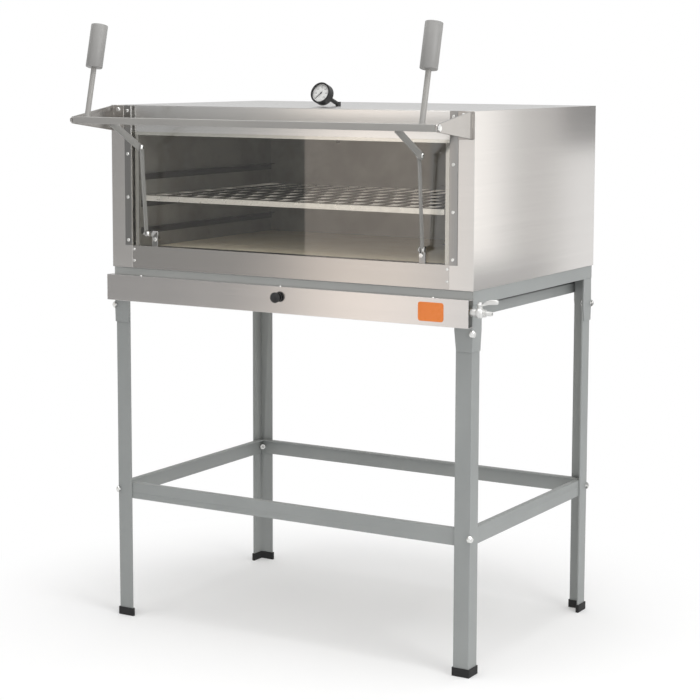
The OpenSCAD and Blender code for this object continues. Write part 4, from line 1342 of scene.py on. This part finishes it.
@dataclass
class Shelf:
    """The wire shelf in the chamber."""

    half: float = 421.0
    front: float = 15.4
    back: float = 597.0
    low: float = 1050.0
    bar_h: float = 13.0
    bar_t: float = 4.0
    wire_d: float = 4.0
    wire_sides: int = 10
    pitch: float = 50.0
    strips: int = 5
    strip_w: float = 4.0
    strip_t: float = 4.0
    strip_inset: float = 1.0
    ease: float = 0.7

    def build(self) -> None:
        """Build and dress the shelf."""
        piece("wire_shelf_bars", self.bars(), WIRE, "oven", ["wire_shelf"])
        # The long wires get the dark copy of the wire finish, which is painted shade
        piece("wire_shelf_wires", self.wires(), SHADED_WIRE, "oven")

    def wires(self) -> bpy.types.Mesh:
        """Lay the round wires from the front bar to the back bar.

        Returns:
            The wires' mesh.
        """
        usual = {"Wire Radius": 0.002, "Wire Length": 0.5, "Sides": self.wire_sides}
        rule = Rule("ShelfWires", usual)
        wire = rule.cylinder(*(rule.size(size) for size in ("Sides", "Wire Radius", "Wire Length")))
        smooth = rule.node(
            "GeometryNodeSetShadeSmooth", None, {"Geometry": wire, "Shade Smooth": True}
        )
        rule.end(rule.copies(smooth), SHADED_WIRE)
        count = math.floor((2 * (self.half - self.bar_t) - self.wire_d) / self.pitch)
        middle, top = (self.front + self.back) / 2, self.low + self.bar_h - self.wire_d / 2
        spots = [(at((k - (count - 1) / 2) * self.pitch, middle, top), BACK) for k in range(count)]
        length = self.back - self.front - self.bar_t
        return rule.mesh(spots, {"Wire Radius": mm(self.wire_d / 2), "Wire Length": mm(length)})

    def bars(self) -> bpy.types.Mesh:
        """Lay the frame bars and cross bars with soft edges.

        Returns:
            The bars' mesh.
        """
        high = self.low + self.bar_h
        boxes = [
            ((-self.half, y, self.low), (self.half, y + self.bar_t, high))
            for y in (self.front, self.back - self.bar_t)
        ]
        for x in (-self.half, self.half - self.bar_t):
            boxes.append(((x, self.front, self.low), (x + self.bar_t, self.back, high)))
        run = self.back - self.front - 2 * self.bar_t
        under, reach = high - self.wire_d / 2, self.half - self.strip_inset
        for k in range(1, self.strips + 1):
            y = self.front + self.bar_t + run * k / (self.strips + 1) - self.strip_w / 2
            boxes.append(((-reach, y, under - self.strip_t), (reach, y + self.strip_w, under)))
        edge = ("BEVEL", {"width": mm(self.ease), "segments": 2})
        return settled(joined([box_mesh(a, b) for a, b in boxes]), edge)


@dataclass
class DoorLift:
    """The sliding glass, its links and the weighted lever."""

    bolts: Rule
    pivot: Pair = (-157.0, 1250.0)
    pivot_x: float = 494.5
    crank: Pair = (-37.06, 1182.97)
    crank_x: float = 388.0
    pin: Pair = (-19.8, 973.3)
    pin_xs: Pair = (376.0, 383.5)
    tab_bolt: Triple = (369.0, -0.8, 958.3)
    link_xs: Pair = (380.0, 383.0)
    link_w: float = 13.0
    link_ease: float = 0.6
    bar_side: float = 16.0
    rod_x: float = 452.0
    rod_d: float = 13.0
    lean: float = 13.5
    bead: float = 1.8
    bore_d: float = 13.2
    weight_d: float = 40.0
    weight_span: Pair = (127.5, 231.45)
    weight_ease: Pair = (2.0, 0.6)

    def build(self) -> None:
        """Build and dress the lift."""
        formed("crossbar", BAR_PAINT, fold=1.6, lip=1.6, broad=4.0)
        formed("brackets", BRACKET_STEEL, fold=1.6, lip=0.9, broad=10.0)
        formed("crank_arms", ARM_PAINT, fold=0.9, lip=0.9, broad=4.0)
        formed("door_tabs", STRIP_STEEL, fold=1.2, lip=0.6, broad=6.0)
        self.weights()
        self.links()
        self.pins()

    def weights(self) -> None:
        """Turn the weights with their eased ends, and the beads at the rods' feet."""
        a, r = math.radians(self.lean), self.weight_d / 2
        axis = Vector((0, math.sin(a), math.cos(a)))
        (low, high), (ease, nick) = self.weight_span, self.weight_ease
        profile = [
            (self.bore_d / 2, low), (r - ease, low), (r - nick, low + nick), (r, low + ease),
            (r, high - ease), (r - nick, high - nick), (r - ease, high), (0.0, high),
        ]
        turned, beads = [], []
        for side in SIDES:
            foot = at(side * self.rod_x, *self.pivot)
            turned.append(turned_mesh(profile, facing(foot, axis), around=56))
            seat = foot + axis * (mm(self.bar_side / 2) / axis.z)
            beads.append(bead_mesh(seat, mm(self.rod_d / 2), mm(self.bead)))
        piece("weights_turned", joined(turned), WEIGHT_PAINT, "lever", ["counterweights"])
        piece("rod_weld_beads", joined(beads), BAR_PAINT, "lever")

    def links(self) -> None:
        """Build the flat links, and the bright pins at their crank ends."""
        bars, heads = [], []
        for side in SIDES:
            xs = [side * x for x in self.link_xs]
            bars.append(flat_bar_mesh(xs, self.pin, self.crank, self.link_w))
            heads.append((at(xs[0], *self.crank), RIGHT * -side))
        edge = ("BEVEL", {"width": mm(self.link_ease), "segments": 2, "limit_method": "ANGLE"})
        piece("door_links_formed", settled(joined(bars), edge), ARM_PAINT, "links", ["door_links"])
        short = replace(PIN, head=Head.PAN, grip=1.0)
        piece("link_pins", short.mesh(self.bolts, heads), PLATED, "links")

    def pins(self) -> None:
        """Set the pivot bolts, the crank pins and the tab pins."""
        pivots, cranks, inner, outer, tabs = [], [], [], [], []
        x, y, z = self.tab_bolt
        for side in SIDES:
            out = RIGHT * side
            pivots.append((at(side * self.pivot_x, *self.pivot), out))
            cranks.append((at(side * self.crank_x, *self.crank), out))
            inner.append((at(side * self.pin_xs[0], *self.pin), -out))
            outer.append((at(side * self.pin_xs[1], *self.pin), out))
            tabs.append((at(side * x, y, z), FRONT))
        lever = [
            replace(PIN, head_d=16.0, shank_d=8.0, grip=36.0).mesh(self.bolts, pivots),
            PIN.mesh(self.bolts, cranks),
        ]
        door = [
            replace(PIN, grip=6.5).mesh(self.bolts, outer),
            replace(PIN, head=Head.PAN, grip=1.0).mesh(self.bolts, inner),
            replace(PIN, grip=8.0, nut_d=12.0, nut_h=4.0).mesh(self.bolts, tabs),
        ]
        piece("lever_pins", joined(lever), PLATED, "lever", ["lever_bolts"])
        piece("door_pins", joined(door), PLATED, "door", ["tab_pins"])


@dataclass
class Controls:
    """The igniter's grip, the badge plate, the gas tail and the valve's lever.

    The shapes are steps: how far in from the grip's rim and back from its face, the share of the
    tail's radius and the way along a barb, the radius and height of the lever's hub, and the way
    along, rise, half width and half height of its sleeve.
    """

    igniter_z: float = 842.5
    button_front: float = -39.5
    button_back: float = -31.5
    button_d: float = 25.0
    dish: tuple[Pair, ...] = ((0.0, 2.0), (1.2, 0.4), (2.4, 0.0), (3.4, 0.3), (6.2, 1.2))
    dish_deep: float = 1.6
    ribs: int = 30
    rib_r: float = 0.9
    rib_short: float = 3.0
    rib_sides: int = 8
    plunger_d: float = 14.0
    plunger_l: float = 16.0
    plunger_ease: float = 0.5
    rim_ease: float = 1.0
    tail_from: float = 536.0
    tail_to: float = 552.0
    tail_d: float = 11.0
    collar: tuple[Pair, ...] = ((0.0, -1.0), (1.0, -1.0), (1.0, 2.0), (0.78, 2.2))
    barbs: int = 4
    barb_from: float = 4.5
    barb: tuple[Pair, ...] = ((0.8, 0.0), (1.0, 0.3), (0.82, 3.1))
    tail_tip: float = 0.76
    bore: float = 0.5
    bore_l: float = 6.0
    pipe: Pair = (-10.0, 839.5)
    valve: Triple = (522.0, -10.0, 855.0)
    hub: tuple[Pair, ...] = (
        (0.0, -8.0), (2.5, -8.0), (2.5, 0.0), (6.6, 0.0), (7.0, 0.6), (7.0, 4.2),
        (6.0, 5.2), (4.2, 5.4), (4.0, 7.6), (3.0, 8.4), (0.0, 8.6),
    )
    sleeve: tuple[Quad, ...] = (
        (-2.0, 2.6, 2.8, 1.8), (0.0, 2.6, 4.0, 2.5), (5.0, 2.9, 4.3, 2.7), (10.0, 4.4, 4.5, 3.6),
        (16.0, 7.2, 4.5, 4.7), (23.0, 9.4, 4.5, 5.1), (31.0, 10.4, 4.5, 5.2),
        (40.0, 10.8, 4.5, 5.2), (43.0, 10.9, 4.2, 4.8), (44.0, 10.9, 3.2, 3.8),
    )

    def build(self) -> None:
        """Build and dress the controls."""
        formed("badge_plate", ORANGE, fold=0.3, lip=0.3, broad=4.0)
        self.button()
        self.tail()
        self.lever()

    def button(self) -> None:
        """Build the button's dished face and its ribbed rim."""
        place = facing(at(0, self.button_back, self.igniter_z), FRONT)
        deep = self.button_back - self.button_front
        core, stem, foot = self.button_d / 2 - self.rib_r, self.plunger_d / 2, -self.plunger_l
        profile = [
            (0.0, foot), (stem - self.plunger_ease, foot), (stem, foot + self.plunger_ease),
            (stem, 0.0), (core - self.rim_ease, 0.0), (core, self.rim_ease),
        ]
        profile += [(core - into, deep - behind) for into, behind in self.dish]
        profile.append((0.0, deep - self.dish_deep))
        rule = Rule("GripRibs", {"Rib Radius": 0.0009, "Rib Length": 0.008})
        rib = rule.cylinder(self.rib_sides, rule.size("Rib Radius"), rule.size("Rib Length"))
        rule.end(rule.copies(rib), PLASTIC)
        spots = []
        for a in angles(self.ribs):
            spots.append((place @ span(core * math.cos(a), core * math.sin(a), deep / 2), BACK))
        ribs = rule.mesh(
            spots, {"Rib Radius": mm(self.rib_r), "Rib Length": mm(deep - self.rib_short)}
        )
        grip = joined([turned_mesh(profile, place, around=48), ribs])
        piece("igniter_grip", grip, PLASTIC, "igniter", ["igniter_button"])

    def tail(self) -> None:
        """Turn the hose tail with its barbs."""
        r, long = self.tail_d / 2, self.tail_to - self.tail_from
        profile = [(r * share, along) for share, along in self.collar]
        for k in range(self.barbs):
            foot = self.barb_from + k * (long - self.bore_l) / self.barbs
            profile += [(r * share, foot + along) for share, along in self.barb]
        profile += [(r * self.tail_tip, long), (r * self.bore, long)]
        profile += [(r * self.bore, long - self.bore_l), (0.0, long - self.bore_l)]
        mesh = turned_mesh(profile, facing(at(self.tail_from, *self.pipe), RIGHT), around=36)
        piece("hose_tail_barbed", mesh, SATIN, "oven", ["hose_tail"])

    def lever(self) -> None:
        """Turn the valve lever's hub and loft its curved sleeve."""
        x, y, z = self.valve
        rings = [
            (at(x + along, y, z + rise), mm(wide), mm(tall))
            for along, rise, wide, tall in self.sleeve
        ]
        hub = turned_mesh(self.hub, facing(at(x, y, z), UP), around=32)
        meshes = joined([hub, lofted_mesh(rings)])
        piece("valve_lever_sleeve", meshes, SATIN, "valve", ["valve_lever"])


@dataclass
class Thermometer:
    """The dial gauge on the casing's top, with its angles in degrees.

    The ring's steps are radius and height, the needle's are along and across.
    """

    centre: Triple = (0.0, 165.0, 1316.095)
    tilt: float = 19.0
    face_drop: float = 4.5
    proud: float = 0.06
    ring_steps: tuple[Pair, ...] = (
        (21.8, -1.0), (22.1, -0.3), (22.9, -0.1), (22.9, -1.0), (21.8, -1.0),
    )
    rest: float = 225.0
    blade: tuple[Pair, ...] = (
        (-5.0, 0.6), (-5.0, -0.6), (4.0, -1.0), (18.6, -0.2), (18.6, 0.2), (4.0, 1.0),
    )
    blade_span: Pair = (1.0, 1.8)
    pin_foot: float = -19.5
    pin_r: float = 0.95
    boss_r: Pair = (2.1, 1.6)
    boss_ease: float = 0.2
    tick_r: float = 19.0
    long_tick: Pair = (3.6, 0.5)
    short_tick: Pair = (2.0, 0.24)
    figure_r: float = 13.8
    figure_h: float = 4.0
    figure_t: float = 0.04
    figure_step: int = 50
    first: float = 225.0
    sweep: float = 270.0
    steps: int = 6
    between: int = 5

    def build(self) -> None:
        """Build and dress the gauge's ring, needle, ticks and figures."""
        ring = turned_mesh(self.ring_steps, self.place(), around=64)
        piece("gauge_ring", ring, PLASTIC, "oven")
        self.needle()
        self.ticks()
        self.figures()

    def place(self) -> Matrix:
        """Place the dial.

        Returns:
            The dial's own frame: X right, Y up the dial, Z out of it.
        """
        a = math.radians(self.tilt)
        up, out = Vector((0, math.sin(a), math.cos(a))), Vector((0, -math.cos(a), math.sin(a)))
        turn = Matrix((RIGHT, up, out)).transposed().to_4x4()
        return Matrix.Translation(at(*self.centre)) @ turn

    def on_face(self, angle: float, radius: float) -> Vector:
        """Find a point just proud of the dial face.

        Args:
            angle: The way from the dial's middle, in degrees.
            radius: How far from the middle, in millimetres.

        Returns:
            The point.
        """
        a = math.radians(angle)
        height = self.proud - self.face_drop
        return self.place() @ span(radius * math.cos(a), radius * math.sin(a), height)

    def needle(self) -> None:
        """Cut the slim needle with its short tail, boss and pin."""
        low, high = (level - self.face_drop for level in self.blade_span)
        c, s = math.cos(math.radians(self.rest)), math.sin(math.radians(self.rest))
        outline = [(c * far - s * aside, s * far + c * aside) for far, aside in self.blade]
        work = bmesh.new()
        rings = [[work.verts.new(span(x, y, z)) for x, y in outline] for z in (low, high)]
        for ring in rings:
            work.faces.new(ring)
        bridged(work, *rings)
        bmesh.ops.recalc_face_normals(work, faces=work.faces)
        work.transform(self.place())
        wide, narrow = self.boss_r
        pin = [
            (0.0, self.pin_foot), (self.pin_r, self.pin_foot), (self.pin_r, low), (wide, low),
            (wide, high - self.boss_ease), (narrow, high), (0.0, high),
        ]
        needle = joined([finished(work, "blade"), turned_mesh(pin, self.place(), around=24)])
        piece("gauge_needle", needle, GREY_INK, "pointer", ["thermometer_pointer"])

    def ticks(self) -> None:
        """Set the long and the short ticks round the dial."""
        rule = Rule("DialTicks", {"Tick Length": 0.003, "Tick Width": 0.0004})
        width, length = rule.size("Tick Width"), rule.size("Tick Length")
        size = rule.node("ShaderNodeCombineXYZ", None, {"X": width, "Y": width, "Z": length})
        rule.end(rule.copies(rule.node("GeometryNodeMeshCube", None, {"Size": size})), GREY_INK)
        count = self.steps * self.between
        longs, shorts = [], []
        for k in range(count + 1):
            angle = self.first - self.sweep * k / count
            spot = self.on_face(angle, self.tick_r)
            axis = (spot - self.on_face(angle, 0.0)).normalized()
            (shorts if k % self.between else longs).append((spot, axis))
        meshes = [
            rule.mesh(spots, {"Tick Length": mm(long), "Tick Width": mm(wide)})
            for spots, (long, wide) in ((longs, self.long_tick), (shorts, self.short_tick))
        ]
        piece("dial_ticks", joined(meshes), GREY_INK, "oven")

    def figures(self) -> None:
        """Write the dial's plain figures."""
        meshes = []
        for k in range(self.steps + 1):
            words = bpy.data.curves.new("figure", "FONT")
            words.body = str(k * self.figure_step)
            words.size, words.extrude = mm(self.figure_h), mm(self.figure_t)
            words.align_x = words.align_y = "CENTER"
            mesh = evaluated(added("figure", words))
            spot = self.on_face(self.first - self.sweep * k / self.steps, self.figure_r)
            mesh.transform(Matrix.Translation(spot) @ self.place().to_3x3().to_4x4())
            meshes.append(mesh)
        piece("dial_figures", joined(meshes), GREY_INK, "oven")


# Studio, in metres of the row frame

SENSOR = 36.0
PHOTO_PX = 700
FLOOR_R = 9.0
FLOOR_TONE: Colour = (0.97, 0.97, 0.97, 1.0)


@dataclass(frozen=True)
class Card:
    """A plain upright board that only mirrors see."""

    name: str
    start: Pair
    stop: Pair
    low: float
    high: float
    tone: Triple

    def build(self) -> None:
        """Stand the board up between its two ends."""
        mesh = bpy.data.meshes.new(self.name)
        foot = [(*end, self.low) for end in (self.start, self.stop)]
        head = [(*end, self.high) for end in (self.stop, self.start)]
        mesh.from_pydata(foot + head, [], [(0, 1, 2, 3)])
        board = added(self.name, mesh)
        material = bpy.data.materials.new(self.name)
        shader = Shader(material)
        shader.end(shader.node("ShaderNodeEmission", None, {"Color": (*self.tone, 1.0)}))
        mesh.materials.append(material)
        board.visible_camera = board.visible_diffuse = False
        board.visible_shadow = board.visible_transmission = False
        board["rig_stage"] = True


@dataclass(frozen=True)
class Softbox:
    """A square soft lamp that looks at a point."""

    name: str
    spot: Triple
    target: Triple
    side: float
    power: float

    def build(self) -> None:
        """Hang the lamp."""
        lamp = bpy.data.lights.new(self.name, "AREA")
        lamp.shape, lamp.size, lamp.energy = "SQUARE", self.side, self.power
        holder = added(self.name, lamp)
        holder.location = self.spot
        ahead = Vector(self.target) - Vector(self.spot)
        holder.rotation_euler = ahead.to_track_quat("-Z", "Y").to_euler()
        holder.visible_camera = False


@dataclass
class Studio:
    """The camera, the soft light, the mirrored boards and the pale floor.

    The camera's eye is in millimetres from the casing's middle, front and floor, and its angles
    are in radians.
    """

    focal_px: float = 1908.153
    yaw: float = 0.5352
    pitch: float = 0.1137
    roll: float = 0.0028
    eye: Triple = (2403.148, -3745.184, 1388.861)
    shift: float = -0.1
    ambient: float = 0.62
    boxes: tuple[Softbox, ...] = (
        Softbox("lamp_over", (0.2, -0.3, 3.6), (0.0, 0.0, 0.6), side=2.4, power=62.0),
        Softbox("lamp_right", (3.6, -1.2, 2.3), (0.3, 0.0, 0.9), side=1.8, power=46.0),
    )
    cards: tuple[Card, ...] = (
        Card("board_left", (-5.4, -2.6), (-2.32, -4.0), low=-0.4, high=7.0, tone=(0.38, 0.38, 0.375)),
        Card("board_warm", (-2.32, -4.0), (-1.66, -4.0), low=-0.4, high=7.0, tone=(1.3, 1.18, 1.08)),
        Card("board_right", (-1.62, -4.0), (-0.6, -4.0), low=-0.4, high=7.0, tone=(0.86, 0.86, 0.86)),
        Card("board_bright", (0.87, 0.2), (0.87, 0.65), low=0.87, high=2.6, tone=(1.35, 1.33, 1.3)),
        Card("board_grey", (0.87, 0.74), (0.87, 1.08), low=0.0, high=2.6, tone=(0.68, 0.67, 0.66)),
        Card("board_high", (0.88, 0.93), (0.88, 1.7), low=1.14, high=2.6, tone=(0.3, 0.3, 0.3)),
        Card("board_low", (0.86, 0.2), (0.86, 0.98), low=0.3, high=0.84, tone=(0.5, 0.5, 0.5)),
        Card("board_far", (-8.0, 6.0), (1.4, 6.0), low=0.0, high=8.0, tone=(0.7, 0.7, 0.7)),
    )
    fade: Pair = (0.55, 1.15)
    lift: float = 0.2

    def build(self) -> None:
        """Set the studio up."""
        self.camera()
        self.world()
        self.floor()
        for item in (*self.boxes, *self.cards):
            item.build()
        bpy.context.scene.view_settings.view_transform = "Standard"

    def camera(self) -> None:
        """Place the camera where the photograph was taken from."""
        data = bpy.data.cameras.new("camera")
        data.sensor_width, data.lens = SENSOR, self.focal_px * SENSOR / PHOTO_PX
        data.shift_y = self.shift
        data.clip_start, data.clip_end = 0.05, 100.0
        holder = added("camera", data)
        level = Vector((math.cos(self.yaw), math.sin(self.yaw), 0))
        flat, drop = math.cos(self.pitch), -math.sin(self.pitch)
        ahead = Vector((-math.sin(self.yaw) * flat, math.cos(self.yaw) * flat, drop))
        up = level.cross(ahead)
        right = level * math.cos(self.roll) + up * math.sin(self.roll)
        head = up * math.cos(self.roll) - level * math.sin(self.roll)
        turn = Matrix((right, head, -ahead)).transposed().to_4x4()
        holder.matrix_world = Matrix.Translation(at(*self.eye)) @ turn
        bpy.context.scene.camera = holder

    @staticmethod
    def seen(tree: Tree) -> Value:
        """Tell what is seen from what only lights.

        Args:
            tree: The tree of the surface or of the background.

        Returns:
            1 for what the camera, mirrors and glass see, and 0 for plain light.
        """
        camera, mirror, glass = (
            tree.node("ShaderNodeLightPath", out=f"Is {ray} Ray")
            for ray in ("Camera", "Glossy", "Transmission")
        )
        return camera.most(mirror).most(glass)

    def world(self) -> None:
        """Make the background white and the plain light even."""
        world = bpy.data.worlds.new("studio")
        world.use_nodes = True
        tree = Tree(world.node_tree)
        light, white = (
            tree.node("ShaderNodeBackground", None, {"Color": WHITE, "Strength": strength})
            for strength in (self.ambient, 1.0)
        )
        mixed = tree.node("ShaderNodeMixShader", None, {0: self.seen(tree), 1: light, 2: white})
        tree.node("ShaderNodeOutputWorld", None, {"Surface": mixed})
        bpy.context.scene.world = world

    def floor(self) -> None:
        """Lay the pale floor, which fades into the background."""
        work = bmesh.new()
        bmesh.ops.create_circle(work, cap_ends=True, segments=96, radius=FLOOR_R)
        mesh = finished(work, "floor")
        material = bpy.data.materials.new("pale_floor")
        shader = Shader(material)
        length = {"operation": "LENGTH"}
        far = shader.node("ShaderNodeVectorMath", length, {0: shader.place()}, "Value")
        matt = shader.node("ShaderNodeBsdfDiffuse", None, {"Color": FLOOR_TONE})
        glow = shader.node("ShaderNodeEmission", None, {"Color": WHITE})
        share = (self.lift + far.over(*self.fade) * (1 - self.lift)) * self.seen(shader)
        shader.end(shader.node("ShaderNodeMixShader", None, {0: share, 1: matt, 2: glow}))
        mesh.materials.append(material)
        added("floor", mesh)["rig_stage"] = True


def dress_nodes() -> None:
    """Give every CAD node its own finish or that of its slot."""
    special = {
        "top_panel": TOP_STEEL,
        "front_sill": SILL_STEEL,
        "front_lintel": LINTEL_STEEL,
        "control_panel": PANEL_STEEL,
        "chamber_wall_left": WALL,
        "chamber_wall_right": WALL,
        "flue_duct": SOOTED,
        "shelf_runners": SHADED_RUNNER,
        "burner_box_sides": BOX_PAINT_WITH_PAINTED_SHADE,
        "weight_rods": BAR_PAINT,
        "valve_body": SATIN,
    }
    for name, node in NODES.items():
        for slot in node.material_slots:
            finish = special.get(name) or SLOTS[slot.material.name.split(".")[0]]
            slot.material = finish.material()


def write_sizes() -> None:
    """Work out the CAD model's box and the dressed model's box, without keeping them."""
    boxes = {"cad": CAD_BOX, "visual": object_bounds()}
    {name: [list(low), list(high)] for name, (low, high) in boxes.items()}


def main() -> None:
    """Build the oven's looks and the studio, in order."""
    logging.basicConfig(level=logging.INFO, format="%(name)s: %(message)s")
    dress_nodes()
    bolts = bolt_rule()
    parts = (Stand(bolts), Casing(bolts), Shelf(), DoorLift(bolts), Controls(), Thermometer())
    for part in (*parts, Studio()):
        part.build()
    write_sizes()


if __name__ == "__main__":
    main()
